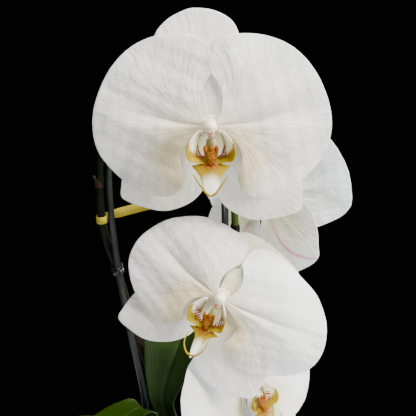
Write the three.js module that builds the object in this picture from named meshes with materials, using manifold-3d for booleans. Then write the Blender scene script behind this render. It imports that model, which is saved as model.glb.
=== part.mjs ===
// Potted moth orchid: a plain tapered pot filled with bark, a short crown with five leathery leaves and
// thick roots, and one flower spike tied to an arched rod, which carries four white blooms and two buds.
// Millimetres, +Z up, the blooms face -Y. The origin is the centre of the pot's flat underside.
import * as THREE from "three";
import { mergeVertices } from "three/addons/utils/BufferGeometryUtils.js";
import Module from "manifold-3d";

const wasm = await Module();
wasm.setup();

// Clearance between solids that touch on the real plant.
const GAP = 0.35;

// The pot, turned about Z, and the bark in it.
const POT = {
  height: 115, footRadius: 45, mouthRadius: 65, wall: 4.5, floor: 6,
  band: 11, bandStep: 2, lipRound: 1.5, sides: 28,
};
// Chips nearer the axis than `clear` are left out, to keep the crown free.
const BARK = {
  level: 98, highest: 110, chips: 25, clear: 21,
  chipLength: 27, chipWidth: 19, chipHeight: 12,
};

// The short upright stem that the leaves, the roots and the spike grow from.
const CROWN = { x: -2, y: 0, radius: 7.4, bottom: 86, top: 129 };
const CROWN_CLEAR = CROWN.radius + 1.3;

// The spike and the rod it is clipped to.
const SPIKE_RADIUS = 2.1;
const SPIKE_TIP_RADIUS = 1.3;
const ROD_RADIUS = 1.8;
const CLIP = { height: 2.8, wall: 1.1, earFoot: 1.2, earTip: 0.7, earLength: 2.8, earSplay: 0.5 };
// The label's ring sits on the spike at the height `at`, and `climb` is the slope of its tail.
const TAG = { length: 47, back: 11, height: 5.6, thick: 0.8, climb: 0.1, at: 247 };

// Blade thicknesses.
const TEPAL_THICK = 0.8;
const LIP_THICK = 0.8;
const LEAF_THICK = 1.9;

// A bloom at its full size: the distance from its centre to the far edge of a petal.
const PETAL_REACH = 56;

const COLOURS = {
  pot: { color: 0xd9d4c8, roughness: 0.35, metalness: 0 },
  bark: { color: 0x4a2f1d, roughness: 0.95, metalness: 0 },
  crown: { color: 0x4f6130, roughness: 0.6, metalness: 0 },
  leaf: { color: 0x2f4a16, roughness: 0.4, metalness: 0 },
  root: { color: 0x9aa58c, roughness: 0.8, metalness: 0 },
  spike: { color: 0x4a5a2a, roughness: 0.5, metalness: 0 },
  rod: { color: 0x1e2422, roughness: 0.3, metalness: 0 },
  clip: { color: 0x39403a, roughness: 0.3, metalness: 0 },
  tag: { color: 0xe2cb1c, roughness: 0.5, metalness: 0 },
  sepal: { color: 0xe9e7df, roughness: 0.5, metalness: 0 },
  petal: { color: 0xefeeea, roughness: 0.5, metalness: 0 },
  column: { color: 0xf1ead9, roughness: 0.45, metalness: 0 },
  lip: { color: 0xe3b81c, roughness: 0.45, metalness: 0 },
  bud: { color: 0xdfe3cc, roughness: 0.5, metalness: 0 },
};

const plant = new THREE.Group();

// Shared helpers
function v3(x, y, z) {
  return new THREE.Vector3(x, y, z);
}

function curveThrough(points) {
  return new THREE.CatmullRomCurve3(points.map((p) => v3(...p)));
}

function smooth(x) {
  const c = Math.min(1, Math.max(0, x));
  return c * c * (3 - 2 * c);
}

// A seeded source of numbers from 0 to 1, the same in every run.
function seeded(seed) {
  let state = seed;
  return () => {
    state = (state * 1664525 + 1013904223) % 4294967296;
    return state / 4294967296;
  };
}

function solidOf(geometry) {
  const bare = geometry.clone();
  bare.deleteAttribute("normal");
  bare.deleteAttribute("uv");
  const merged = mergeVertices(bare, 1e-4);
  return new wasm.Manifold(
    new wasm.Mesh({
      numProp: 3,
      vertProperties: new Float32Array(merged.attributes.position.array),
      triVerts: new Uint32Array(merged.index.array),
    }),
  );
}

function geometryOf(solid) {
  const mesh = solid.getMesh();
  const geometry = new THREE.BufferGeometry();
  geometry.setAttribute("position", new THREE.BufferAttribute(mesh.vertProperties, 3));
  geometry.setIndex(new THREE.BufferAttribute(mesh.triVerts, 1));
  return geometry;
}

function joined(geometries) {
  return geometries.map(solidOf).reduce((a, b) => a.add(b));
}

function meshOf(name, geometry, look, parent = plant) {
  const mesh = new THREE.Mesh(geometry, new THREE.MeshStandardMaterial(COLOURS[look]));
  mesh.name = name;
  parent.add(mesh);
  return mesh;
}

// A closed sheet of even thickness about the surface point(s, t), s from 0 to 1 and t from -1 to 1.
function blade(point, rows, columns, thickness) {
  const STEP = 1e-3;
  const positions = [];
  const index = [];
  const wide = columns + 1;
  const faceSize = rows.length * wide;
  for (const side of [0.5, -0.5])
    for (const s of rows)
      for (let j = 0; j <= columns; j++) {
        const t = (2 * j) / columns - 1;
        const along = point(s + STEP, t).sub(point(s - STEP, t));
        const across = point(s, t + STEP).sub(point(s, t - STEP));
        const normal = along.cross(across).normalize();
        const p = point(s, t).addScaledVector(normal, side * thickness);
        positions.push(p.x, p.y, p.z);
      }
  for (let i = 0; i < rows.length - 1; i++)
    for (let j = 0; j < columns; j++) {
      const a = i * wide + j;
      const b = a + 1;
      const c = a + wide;
      const d = c + 1;
      index.push(a, c, b, b, c, d);
      index.push(faceSize + a, faceSize + b, faceSize + c, faceSize + b, faceSize + d, faceSize + c);
    }
  const rim = [];
  for (let j = 0; j < columns; j++) rim.push(j);
  for (let i = 0; i < rows.length - 1; i++) rim.push(i * wide + columns);
  for (let j = columns; j > 0; j--) rim.push((rows.length - 1) * wide + j);
  for (let i = rows.length - 1; i > 0; i--) rim.push(i * wide);
  rim.forEach((a, k) => {
    const b = rim[(k + 1) % rim.length];
    index.push(a, b, faceSize + b, a, faceSize + b, faceSize + a);
  });
  return facingOut(positions, index);
}

function facingOut(positions, index) {
  const geometry = new THREE.BufferGeometry();
  geometry.setAttribute("position", new THREE.Float32BufferAttribute(positions, 3));
  geometry.setIndex(index);
  const corner = [0, 1, 2].map(() => new THREE.Vector3());
  let volume = 0;
  for (let k = 0; k < index.length; k += 3) {
    corner.forEach((c, n) => c.fromArray(positions, 3 * index[k + n]));
    volume += corner[0].dot(corner[1].clone().cross(corner[2]));
  }
  if (volume < 0) {
    for (let k = 0; k < index.length; k += 3) {
      const second = index[k + 1];
      index[k + 1] = index[k + 2];
      index[k + 2] = second;
    }
    geometry.setIndex(index);
  }
  return geometry;
}

// A round closed tube along a curve, with its radius given for each share of the way.
// A tube of radius 1 is extruded first, then each ring is scaled about its centre.
function tube(curve, steps, sides, radiusAt) {
  const section = new THREE.Shape();
  for (let k = 0; k < sides; k++) {
    const angle = (2 * Math.PI * k) / sides;
    if (k === 0) section.moveTo(Math.cos(angle), Math.sin(angle));
    else section.lineTo(Math.cos(angle), Math.sin(angle));
  }
  const sweep = { steps, bevelEnabled: false, extrudePath: curve };
  const geometry = new THREE.ExtrudeGeometry(section, sweep);
  const centres = curve.getSpacedPoints(steps);
  const corners = geometry.attributes.position;
  const corner = new THREE.Vector3();
  for (let i = 0; i < corners.count; i++) {
    corner.fromBufferAttribute(corners, i);
    const misfit = centres.map((centre) => Math.abs(centre.distanceTo(corner) - 1));
    const ring = misfit.indexOf(Math.min(...misfit));
    corner.sub(centres[ring]).multiplyScalar(radiusAt(ring / steps)).add(centres[ring]);
    corners.setXYZ(i, corner.x, corner.y, corner.z);
  }
  return geometry;
}

function pebble(radii, at) {
  const geometry = new THREE.IcosahedronGeometry(1, 0);
  geometry.scale(...radii);
  geometry.translate(...at);
  return geometry;
}

// Pot and bark
const POT_SLOPE = (POT.mouthRadius - POT.footRadius) / POT.height;

function potOuter(z) {
  return POT.footRadius + POT_SLOPE * z;
}

function turned(profile, sides) {
  const geometry = new THREE.LatheGeometry(profile.map((p) => new THREE.Vector2(...p)), sides);
  geometry.rotateX(Math.PI / 2);
  return geometry;
}

function makePot() {
  const { height, wall, floor, band, bandStep, lipRound } = POT;
  const bandFoot = height - band;
  const inner = (z) => potOuter(z) - wall;
  const profile = [
    [0, 0],
    [POT.footRadius - 2, 0],
    [potOuter(2), 2],
    [potOuter(bandFoot), bandFoot],
    [potOuter(bandFoot) + bandStep, bandFoot + lipRound],
    [potOuter(height) + bandStep, height - lipRound],
    [potOuter(height) + bandStep - 1.2, height],
    [inner(height) + 0.8, height],
    [inner(height), height - 1],
    [inner(floor + 3), floor + 3],
    [inner(floor) - 3, floor],
    [0, floor],
  ];
  meshOf("pot", turned(profile, POT.sides), "pot");
}

// The space that bark may fill, up to a height.
function potFilling(top) {
  const inner = (z) => potOuter(z) - POT.wall - GAP;
  const low = POT.floor + GAP;
  const profile = [
    [0, low],
    [inner(low) - 4, low],
    [inner(low + 4), low + 4],
    [inner(top), top],
    [0, top],
  ];
  return turned(profile, POT.sides);
}

function barkChip(random, place) {
  const box = new THREE.BoxGeometry(1, 1, 1);
  box.deleteAttribute("normal");
  box.deleteAttribute("uv");
  const chip = mergeVertices(box);
  const corners = chip.attributes.position;
  for (let i = 0; i < corners.count; i++)
    corners.setXYZ(
      i,
      corners.getX(i) * (0.72 + 0.5 * random()),
      corners.getY(i) * (0.72 + 0.5 * random()),
      corners.getZ(i) * (0.75 + 0.4 * random()),
    );
  const size = 0.75 + 0.5 * random();
  chip.scale(BARK.chipLength * size, BARK.chipWidth * size, BARK.chipHeight * size);
  chip.rotateX(0.7 * (random() - 0.5));
  chip.rotateY(0.7 * (random() - 0.5));
  chip.rotateZ(Math.PI * random());
  chip.translate(...place);
  return chip;
}

function largestBody(solid) {
  return solid.decompose().sort((a, b) => b.volume() - a.volume())[0];
}

function makeBark(cutters) {
  const random = seeded(7);
  const goldenAngle = Math.PI * (3 - Math.sqrt(5));
  const reach = POT.mouthRadius - POT.wall - 6;
  const chips = [];
  for (let i = 0; i < BARK.chips; i++) {
    const radius = reach * Math.sqrt((i + 0.5) / BARK.chips);
    const angle = i * goldenAngle;
    const lift = 3.5 * random() - 1;
    const place = [radius * Math.cos(angle), radius * Math.sin(angle), BARK.level + lift];
    const chip = barkChip(random, place);
    if (radius > BARK.clear) chips.push(chip);
  }
  let bark = joined([potFilling(BARK.level), ...chips]);
  bark = bark.intersect(solidOf(potFilling(BARK.highest)));
  for (const cutter of cutters) bark = bark.subtract(solidOf(cutter));
  meshOf("bark_chips", geometryOf(largestBody(bark)), "bark");
}

// Crown, roots and leaves
function crownSolid(extra) {
  const { radius, bottom, top } = CROWN;
  const profile = [
    [0, bottom - extra],
    [radius * 0.7 + extra, bottom - extra],
    [radius + extra, bottom + 10],
    [radius + extra, top - 14],
    [radius * 0.72 + extra, top - 4],
    [radius * 0.45 + extra, top + extra],
    [0, top + extra],
  ];
  const geometry = turned(profile, 14);
  geometry.translate(CROWN.x, CROWN.y, 0);
  return geometry;
}

// Each root leaves the crown at a compass angle, and its points follow as
// [distance from the crown's axis, height, turn in degrees].
const ROOTS = [
  {
    angle: -95, radius: 2.5,
    route: [[3, 95, 0], [9, 99, 0], [16, 105, 2], [28, 109, 8], [41, 104, 14], [47, 82, 20]],
  },
  {
    angle: -38, radius: 2.3,
    route: [[3, 94, 0], [9, 99, 0], [17, 105, -4], [27, 107, -10], [36, 99, -14], [39, 84, -16]],
  },
  {
    angle: 40, radius: 2.4,
    route: [[3, 95, 0], [9, 100, 0], [19, 107, 5], [31, 109, 9], [43, 102, 15], [47, 86, 18]],
  },
  {
    angle: 112, radius: 2.2,
    route: [[3, 93, 0], [9, 98, 0], [17, 104, -3], [28, 106, -8], [37, 99, -12], [39, 84, -14]],
  },
  {
    angle: -128, radius: 2.6,
    route: [
      [3, 96, 0], [9, 102, 0], [20, 109, 2], [40, 116, 6],
      [58, 121.5, 9], [70, 117, 12], [76, 98, 14], [78, 76, 13],
    ],
  },
];
const ROOT_TIP = 0.62;

function rootTube(root, extra) {
  const points = root.route.map(([distance, height, turn]) => {
    const angle = THREE.MathUtils.degToRad(root.angle + turn);
    return [CROWN.x + distance * Math.cos(angle), CROWN.y + distance * Math.sin(angle), height];
  });
  const radiusAt = (u) => root.radius * (1 - (1 - ROOT_TIP) * smooth((u - 0.85) / 0.15)) + extra;
  return tube(curveThrough(points), 11, 6, radiusAt);
}

// A leaf clasps the crown at the compass angle `base`, then follows its midrib's points. `neck` is the
// width of its foot as a share of its widest, and `channel` how deep it is folded along the midrib.
const LEAVES = [
  {
    name: "leaf_1", base: -75, foot: 104.5, halfWidth: 27, neck: 0.2, channel: 1,
    midrib: [[3, -19, 118], [10, -38, 124], [22, -70, 119], [33, -99, 101], [41, -118, 77]],
  },
  {
    name: "leaf_2", base: 168, foot: 105, halfWidth: 28, neck: 0.2, channel: 0.5,
    midrib: [[-19, 4.3, 115.5], [-38.5, 13, 119], [-60, 25, 117.8], [-84, 40, 106], [-102, 51, 86]],
  },
  {
    name: "leaf_3", base: 12, foot: 113.5, halfWidth: 30, neck: 0.2, channel: 1,
    midrib: [[13, 4, 126], [34, 9, 129], [64, 13, 120], [94, 15, 103], [116, 15, 82]],
  },
  {
    name: "leaf_4", base: 205, foot: 116, halfWidth: 27, neck: 0.44, channel: 0.5,
    midrib: [
      [-11.2, -4.2, 134], [-14.5, -6, 140.8], [-21, -9, 138.5], [-33, -13, 130.5],
      [-49, -20.5, 123.2], [-66, -28, 116.8], [-81, -36, 105], [-91, -42, 91],
    ],
  },
  {
    name: "leaf_5", base: 66, foot: 123, halfWidth: 25, neck: 0.2, channel: 1,
    midrib: [
      [-2.5, 9.5, 141], [-1, 12, 153], [5.5, 17.5, 171], [13, 29, 190], [18, 45, 208], [22, 62, 222],
    ],
  },
];
const LEAF_ROWS = [0, 0.05, 0.1, 0.17, 0.27, 0.4, 0.53, 0.66, 0.78, 0.88, 0.95, 0.99];
const LEAF_COLUMNS = 4;

// Half-width along a leaf as a share of its widest: a narrow foot, a broad middle and a blunt tip.
function leafWidth(s, neck) {
  const foot = neck + (1 - neck) * smooth((s - 0.05) / 0.52);
  const tip = Math.sqrt(Math.max(0, 1 - Math.pow(Math.max(0, (s - 0.62) / 0.385), 2.4)));
  return foot * tip;
}

function leafSurface(leaf) {
  const angle = THREE.MathUtils.degToRad(leaf.base);
  const out = v3(Math.cos(angle), Math.sin(angle), 0);
  const sideways = v3(-out.y, out.x, 0);
  const onCrown = (radius, z) => [CROWN.x + radius * out.x, CROWN.y + radius * out.y, z];
  const curve = curveThrough([
    onCrown(CROWN_CLEAR, leaf.foot),
    onCrown(CROWN_CLEAR + 0.7, leaf.foot + 6),
    ...leaf.midrib,
  ]);
  const length = curve.getLength();
  return (s, t) => {
    const u = Math.min(1, Math.max(0, s));
    const along = curve.getTangentAt(u);
    const up = along.clone().cross(sideways).normalize();
    const across = up.clone().cross(along);
    const half = leaf.halfWidth * leafWidth(u, leaf.neck) * t;
    const clasp = Math.exp(-Math.pow(u / 0.07, 2));
    const turn = half / CROWN_CLEAR;
    const fold = leaf.channel * (0.3 - 0.22 * smooth(u / 0.8));
    const channel = fold * Math.abs(half) * Math.sqrt(Math.abs(t));
    const side = (1 - clasp) * half + clasp * CROWN_CLEAR * Math.sin(turn);
    const lift = (1 - clasp) * channel + clasp * CROWN_CLEAR * (1 - Math.cos(turn));
    const point = curve.getPointAt(u).addScaledVector(along, length * (s - u));
    return point.addScaledVector(across, side).addScaledVector(up, lift);
  };
}

// Spike, rod, clips and tag
// The spike's axis: out of the crown's side, up behind the rod, over the arch and down the far side.
const SPIKE_ROUTE = [
  [-4.7, 7.4, 117], [-5.8, 10.6, 118.5], [-6.8, 15.5, 124], [-7.4, 21, 133], [-8.8, 26.5, 148],
  [-14.4, 28.5, 163], [-18.3, 26.5, 175], [-22.4, 21.5, 191], [-25.9, 16, 206], [-29.4, 11.3, 219.5],
  [-33.6, 4.5, 233], [-36.2, -0.5, 247.5], [-36.8, -4.5, 260], [-36.2, -9, 280], [-33.9, -14, 301],
  [-22.8, -25.4, 326], [0.2, -40, 342], [21.6, -53, 335], [33.4, -61, 316.6], [36, -65, 290.6],
  [35.9, -66, 262.9], [37.2, -62, 236], [40.5, -51, 205], [44, -41, 176], [49, -36, 154],
  [57, -35, 138], [66, -37, 127],
];

const ROD_ROUTE = [
  [-13, 18, 30], [-13, 18, 100], [-12.8, 16.5, 122], [-13.4, 11.3, 141], [-20.4, 7, 178],
  [-27.2, 5, 214], [-29.7, 2, 234.8], [-30.8, -1, 247.5], [-31.7, -6, 273], [-28.4, -13, 299],
  [-15.5, -26, 322], [2.8, -39, 332], [19.2, -50, 325], [27.6, -58, 306], [30.4, -63, 284],
  [31, -65, 262.6], [31.4, -65, 242],
];

const spikeCurve = curveThrough(SPIKE_ROUTE);
const rodCurve = curveThrough(ROD_ROUTE);

function spikeRadius(u) {
  return SPIKE_RADIUS + (SPIKE_TIP_RADIUS - SPIKE_RADIUS) * smooth((u - 0.55) / 0.45);
}

// The share of a curve's length at which it first reaches a height, searched between two shares.
function shareAtHeight(curve, height, from, to) {
  let [low, high] = [from, to];
  const rising = curve.getPointAt(to).z > curve.getPointAt(from).z;
  for (let i = 0; i < 40; i++) {
    const middle = (low + high) / 2;
    if (curve.getPointAt(middle).z < height === rising) low = middle;
    else high = middle;
  }
  return (low + high) / 2;
}

// The spike and the rod reach their highest points at these shares.
const SPIKE_TOP = 0.53;
const ROD_TOP = 0.66;
const spikeUp = (height) => shareAtHeight(spikeCurve, height, 0, SPIKE_TOP);
const spikeDown = (height) => shareAtHeight(spikeCurve, height, SPIKE_TOP, 1);
const rodUp = (height) => shareAtHeight(rodCurve, height, 0, ROD_TOP);
const rodDown = (height) => shareAtHeight(rodCurve, height, ROD_TOP, 1);

const spikeTube = (extra) => tube(spikeCurve, 56, 6, (u) => spikeRadius(u) + extra);
const rodTube = (extra) => tube(rodCurve, 42, 6, () => ROD_RADIUS + extra);

// A clip is a flat collar round rod and spike, cut to clear both, with two flared ears.
function makeClip(name, rodShare, spikeShare) {
  const onRod = rodCurve.getPointAt(rodShare);
  const onSpike = spikeCurve.getPointAt(spikeShare);
  const rodWay = rodCurve.getTangentAt(rodShare);
  const along = rodWay.add(spikeCurve.getTangentAt(spikeShare)).normalize();
  const between = onSpike.clone().sub(onRod);
  const half = between.length() / 2;
  const across = between.clone().addScaledVector(along, -between.dot(along)).normalize();
  const side = along.clone().cross(across);
  const rodEnd = ROD_RADIUS + GAP + CLIP.wall;
  const spikeEnd = SPIKE_RADIUS + GAP + CLIP.wall;
  const collar = new THREE.Shape();
  collar.absarc(-half, 0, rodEnd, Math.PI / 2, (3 * Math.PI) / 2, false);
  collar.absarc(half, 0, spikeEnd, -Math.PI / 2, Math.PI / 2, false);
  collar.closePath();
  const extrusion = { depth: CLIP.height, bevelEnabled: false, curveSegments: 5 };
  const ring = new THREE.ExtrudeGeometry(collar, extrusion);
  ring.translate(0, 0, -CLIP.height / 2);
  const ears = [-1, 1].map((end) => {
    const ear = new THREE.CylinderGeometry(CLIP.earTip, CLIP.earFoot, CLIP.earLength, 5);
    ear.rotateX(Math.PI / 2);
    ear.rotateY(end * CLIP.earSplay);
    const reach = half + (end < 0 ? rodEnd : spikeEnd) - 0.3;
    ear.translate(end * reach, 0, CLIP.height / 2);
    return ear;
  });
  const basis = new THREE.Matrix4().makeBasis(across, side, along);
  basis.setPosition(onRod.clone().add(onSpike).multiplyScalar(0.5));
  const clip = joined([ring, ...ears].map((g) => g.applyMatrix4(basis)));
  const bored = clip.subtract(solidOf(rodTube(GAP))).subtract(solidOf(spikeTube(GAP)));
  meshOf(name, geometryOf(largestBody(bored)), "clip");
}

// A blank loop label: a small ring round the spike and a straight tail that climbs behind the rod.
function makeTag() {
  const inner = SPIKE_RADIUS + GAP;
  const outer = inner + TAG.thick;
  const outline = new THREE.Shape();
  outline.moveTo(0, outer);
  outline.lineTo(TAG.length, TAG.back);
  outline.lineTo(TAG.length, TAG.back - TAG.thick);
  outline.lineTo(outer * Math.cos(Math.PI / 3), outer * Math.sin(Math.PI / 3));
  outline.absarc(0, 0, outer, Math.PI / 3, (-3 * Math.PI) / 2, true);
  const hole = new THREE.Path();
  hole.absarc(0, 0, inner, 0, 2 * Math.PI, false);
  outline.holes.push(hole);
  const extrusion = { depth: TAG.height, bevelEnabled: false, curveSegments: 8 };
  const geometry = new THREE.ExtrudeGeometry(outline, extrusion);
  geometry.translate(0, 0, -TAG.height / 2);
  const corners = geometry.attributes.position;
  for (let i = 0; i < corners.count; i++)
    corners.setZ(i, corners.getZ(i) + TAG.climb * Math.max(0, corners.getX(i) - outer));
  const share = spikeUp(TAG.at);
  const along = spikeCurve.getTangentAt(share);
  const back = along.clone().cross(v3(1, 0, 0)).normalize();
  const mesh = meshOf("tag_loop", geometry, "tag");
  mesh.position.copy(spikeCurve.getPointAt(share));
  const basis = new THREE.Matrix4().makeBasis(back.clone().cross(along), back, along);
  mesh.quaternion.setFromRotationMatrix(basis);
}

// Blooms
// A bloom's own frame: x to the viewer's right, y towards its upper sepal, z out of its face.
// Outlines run round one tepal from one side of its foot to the other, at the size PETAL_REACH.
const PETAL_OUTLINE = [
  [0.3, 24.5], [0.3, 34], [3.4, 40.5], [12, 43.6], [25, 43], [38, 37.5], [48, 27], [54.5, 13],
  [56.5, 0], [54, -12], [46, -22.5], [35, -30.5], [24, -33.5], [15.5, -31], [12.6, -24],
];
// A sepal lies along +y here, and is turned to its place in the bloom.
const UPPER_OUTLINE = [
  [-5.6, 6], [-9.5, 12.5], [-13.8, 20], [-18.4, 28], [-21.6, 37], [-19.6, 46.5], [-12, 52.8], [-3, 55.6],
  [3, 55.6], [12, 52.8], [19.6, 46.5], [21.6, 37], [18.4, 28], [13.8, 20], [9.5, 12.5], [5.6, 6],
];
const LATERAL_OUTLINE = [
  [-4, 6], [-10.5, 13], [-15.5, 21], [-17, 30], [-15.5, 38.5], [-10.5, 46.5], [-4.5, 53],
  [1.5, 57], [12, 51], [19.5, 44], [23.2, 35], [23.4, 26.5], [20, 18.5], [12, 11.3], [4.3, 6],
];

function outlineAt(outline) {
  const curve = new THREE.SplineCurve(outline.map((p) => new THREE.Vector2(...p)));
  return (t) => curve.getPoint(Math.min(1, Math.max(0, (1 - t) / 2)));
}

// The flat layout of a tepal: rays leave its foot side by side, along `heading`, and bend out to
// the outline, by a share `bendUp` of the way on the outline's first side and `bendDown` on its last.
function fan(outline, foot, footHalfWidth, heading, bendUp, bendDown) {
  const edge = outlineAt(outline);
  const side = new THREE.Vector2(-heading.y, heading.x);
  return (s, t) => {
    const start = foot.clone().addScaledVector(side, footHalfWidth * t);
    const end = edge(t);
    const reach = end.clone().sub(start);
    const swing = Math.atan2(heading.x * reach.y - heading.y * reach.x, heading.dot(reach));
    const lean = swing * ((bendUp + bendDown) / 2 + ((bendUp - bendDown) / 2) * t);
    const length = (0.5 * reach.length()) / Math.cos(swing - lean);
    const bend = heading.clone().rotateAround(new THREE.Vector2(), lean);
    bend.multiplyScalar(length).add(start);
    return start
      .multiplyScalar((1 - s) * (1 - s))
      .addScaledVector(bend, 2 * s * (1 - s))
      .addScaledVector(end, s * s);
  };
}

const SIDEWAYS = new THREE.Vector2(1, 0);
const UPWARDS = new THREE.Vector2(0, 1);
const SEPAL_FOOT = new THREE.Vector2(0, 2.9);
const petalFlat = fan(PETAL_OUTLINE, new THREE.Vector2(2.9, 0.6), 2.2, SIDEWAYS, 0.65, 0.3);
const upperFlat = fan(UPPER_OUTLINE, SEPAL_FOOT, 4.2, UPWARDS, 0.5, 0.5);
const lateralFlat = fan(LATERAL_OUTLINE, SEPAL_FOOT, 3.1, UPWARDS, 0.5, 0.5);

// How far a petal stands out of the bloom's flat face: a low arch, a crease along its middle,
// a lower inner lobe that curls forward, and a waved margin.
function petalRise(x, y, s, t, wave) {
  const r = Math.hypot(x, y) / PETAL_REACH;
  const arch = 0.3 + 7.4 * r - 9.4 * r * r;
  const crease = -1.1 * Math.exp(-Math.pow(t / 0.1, 2)) * Math.sin(Math.PI * Math.min(1, s * 1.05));
  const lobe = 2.2 * Math.exp(-(Math.pow(x - 16, 2) + Math.pow(y + 25, 2)) / 110);
  const margin = 0.9 * Math.sin(7 * t + wave) * Math.pow(s, 4);
  return arch + crease + lobe + margin;
}

// Sepals lie behind the petals and lean back towards their tips, bent along the middle.
function sepalRise(x, y, s, t, wave) {
  const r = Math.hypot(x, y) / PETAL_REACH;
  const keel = -1.5 * Math.abs(t) * s;
  const margin = 0.6 * Math.sin(6 * t + wave) * Math.pow(s, 4);
  return -2.3 - 1.6 * r - 1.4 * r * r + keel + margin;
}

// A tepal's surface in the bloom's frame. `stretch` scales it along +y, with its own share `below` the
// centre, and `wide` scales it along x, with a further `belly` on its right. `turn` turns it clockwise
// about the centre, `cup` brings its far end forward, and `curl` is the curvature that bends the upper
// half of the bloom back.
function tepalPoint(flat, rise, place) {
  const { wave = 0, turn = 0, cup = 0, curl = 0 } = place;
  const { wide = 1, belly = 1, stretch = 1, below = stretch } = place;
  const angle = THREE.MathUtils.degToRad(-turn);
  return (s, t) => {
    const p = flat(s, t);
    const far = p.lengthSq() / (PETAL_REACH * PETAL_REACH);
    const z = rise(p.x, p.y, Math.max(0, s), t, wave) + cup * far;
    p.x *= p.x > 0 ? wide * belly : wide;
    p.y *= p.y > 0 ? stretch : below;
    p.rotateAround(new THREE.Vector2(), angle);
    if (curl === 0 || p.y <= 0) return v3(p.x, p.y, z);
    const bend = p.y * curl;
    return v3(p.x, Math.sin(bend) * (1 / curl + z), (Math.cos(bend) - 1) / curl + z * Math.cos(bend));
  };
}

const PETAL_ROWS = [0, 0.16, 0.36, 0.58, 0.8, 1];
const SEPAL_ROWS = [0, 0.22, 0.48, 0.75, 1];

function mirrored(geometry) {
  const positions = Array.from(geometry.attributes.position.array);
  for (let i = 0; i < positions.length; i += 3) positions[i] = -positions[i];
  return facingOut(positions, Array.from(geometry.index.array));
}

// The column: a short hood over the lip, with a foot that runs down to the lip's hinge.
const HOOD_ROUTE = [[0, 1, -1.3], [0, 2.2, 2.5], [0, 1.8, 6.5], [0, 0.2, 9.6], [0, -1.4, 10.8]];
const FOOT_ROUTE = [[0, 0.6, 0.4], [0, -1.8, 1.8], [0, -4.4, 3.75]];

function hoodRadius(u) {
  return 2.35 + 0.75 * smooth((u - 0.35) / 0.5) - 1.6 * smooth((u - 0.86) / 0.14);
}

function columnGeometry() {
  const hood = tube(curveThrough(HOOD_ROUTE), 6, 8, hoodRadius);
  const foot = tube(curveThrough(FOOT_ROUTE), 2, 6, (u) => 2.0 - 0.5 * u);
  return geometryOf(joined([hood, foot]));
}

// The lip's middle lobe: an arrowhead that points down and out, with two shoulders.
const MIDLOBE_AXIS = [
  [0, -5.6, 4.0], [0, -9, 5.2], [0, -13, 7.6], [0, -17.6, 9.0], [0, -24, 12.2], [0, -31.4, 16.2],
];
// Half-widths at shares of the way along.
const MIDLOBE_WIDTHS = [
  [0, 2.0], [0.18, 2.6], [0.36, 3.4], [0.43, 5.2], [0.465, 9.4], [0.5, 8.2],
  [0.55, 6.4], [0.62, 4.9], [0.72, 4.1], [0.82, 3.2], [0.92, 2], [1, 0.8],
];

function alongTable(table, s) {
  const k = Math.max(1, table.findIndex((row) => row[0] >= s));
  const [a, b] = [table[k - 1], table[k]];
  return a[1] + ((b[1] - a[1]) * (s - a[0])) / (b[0] - a[0]);
}

// `strip` narrows the part below the shoulders.
function midlobeGeometry(strip) {
  const axis = curveThrough(MIDLOBE_AXIS);
  const point = (s, t) => {
    const u = Math.min(1, Math.max(0, s));
    const half = alongTable(MIDLOBE_WIDTHS, u) * (1 + (strip - 1) * smooth((u - 0.47) / 0.1));
    const p = axis.getPointAt(u);
    const beyond = axis.getTangentAt(u).multiplyScalar(30 * (s - u));
    const shoulder = Math.exp(-Math.pow((u - 0.49) / 0.05, 2));
    const y = p.y + 0.6 * shoulder * Math.abs(t);
    const z = p.z - 1.6 * Math.abs(t) * (1 - u) - 0.4 * shoulder * t * t;
    return v3(half * t, y, z).add(beyond);
  };
  const rows = MIDLOBE_WIDTHS.map((row) => row[0]);
  return blade(point, rows, 2, LIP_THICK);
}

// A side lobe: an ear that stands up beside the column, between an inner and an outer edge.
const SIDE_INNER = [
  [1.6, -15.6, 8.0], [3.0, -13.4, 7.0], [5.2, -11.4, 6.2], [6, -8.6, 5.8],
  [5.8, -5.8, 6.2], [4.8, -3.2, 7.2], [4.1, -1.4, 8.2],
];
const SIDE_OUTER = [
  [3.6, -16.3, 8.9], [7.0, -15.4, 9.6], [9.9, -14.8, 10.9], [11.2, -11.6, 12.4],
  [10.8, -7.4, 12.2], [8.8, -4.2, 11.2], [5.6, -0.7, 9.6],
];

function sideLobeGeometry() {
  const inner = curveThrough(SIDE_INNER);
  const outer = curveThrough(SIDE_OUTER);
  const point = (s, t) => {
    const u = Math.min(1, Math.max(0, s));
    const v = (t + 1) / 2;
    const p = inner.getPoint(u).lerp(outer.getPoint(u), v);
    p.z -= 1.7 * Math.sin(Math.PI * Math.min(1, Math.max(0, v)));
    return p.addScaledVector(inner.getTangent(u), 20 * (s - u));
  };
  return blade(point, [0, 0.2, 0.4, 0.6, 0.8, 1], 2, LIP_THICK);
}

// Two ways in which a thread grows back from the lip's tip.
const STRAIGHT_THREAD = [
  [0.4, -30.6, 15.8], [2.2, -28.9, 16.7], [4.4, -26, 16.9], [6.5, -23.1, 16.2], [8.2, -20.6, 14.8],
];
const CURLED_THREAD = [
  [0.4, -30.4, 15.8], [2.6, -29.6, 16.9], [5, -27, 17.2], [6.4, -23.6, 16.4], [6.3, -19.6, 14.6],
];

function threadGeometry(route, side) {
  const curve = curveThrough(route.map(([x, y, z]) => [side * x, y, z]));
  return tube(curve, 5, 4, () => 0.5);
}

function lipGeometry({ strip, thread, wide }) {
  const lobe = sideLobeGeometry();
  const callus = pebble([3.1, 3.8, 1.6], [0, -12.1, 8.9]);
  const horns = [-1, 1].map((side) => pebble([1.1, 2.3, 1], [side * 2.5, -10, 9.1]));
  const threads = [threadGeometry(thread, 1), threadGeometry(thread, -1)];
  const forms = [midlobeGeometry(strip), lobe, mirrored(lobe), callus, ...horns, ...threads];
  return geometryOf(joined(forms)).scale(wide, 1, 1);
}

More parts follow.
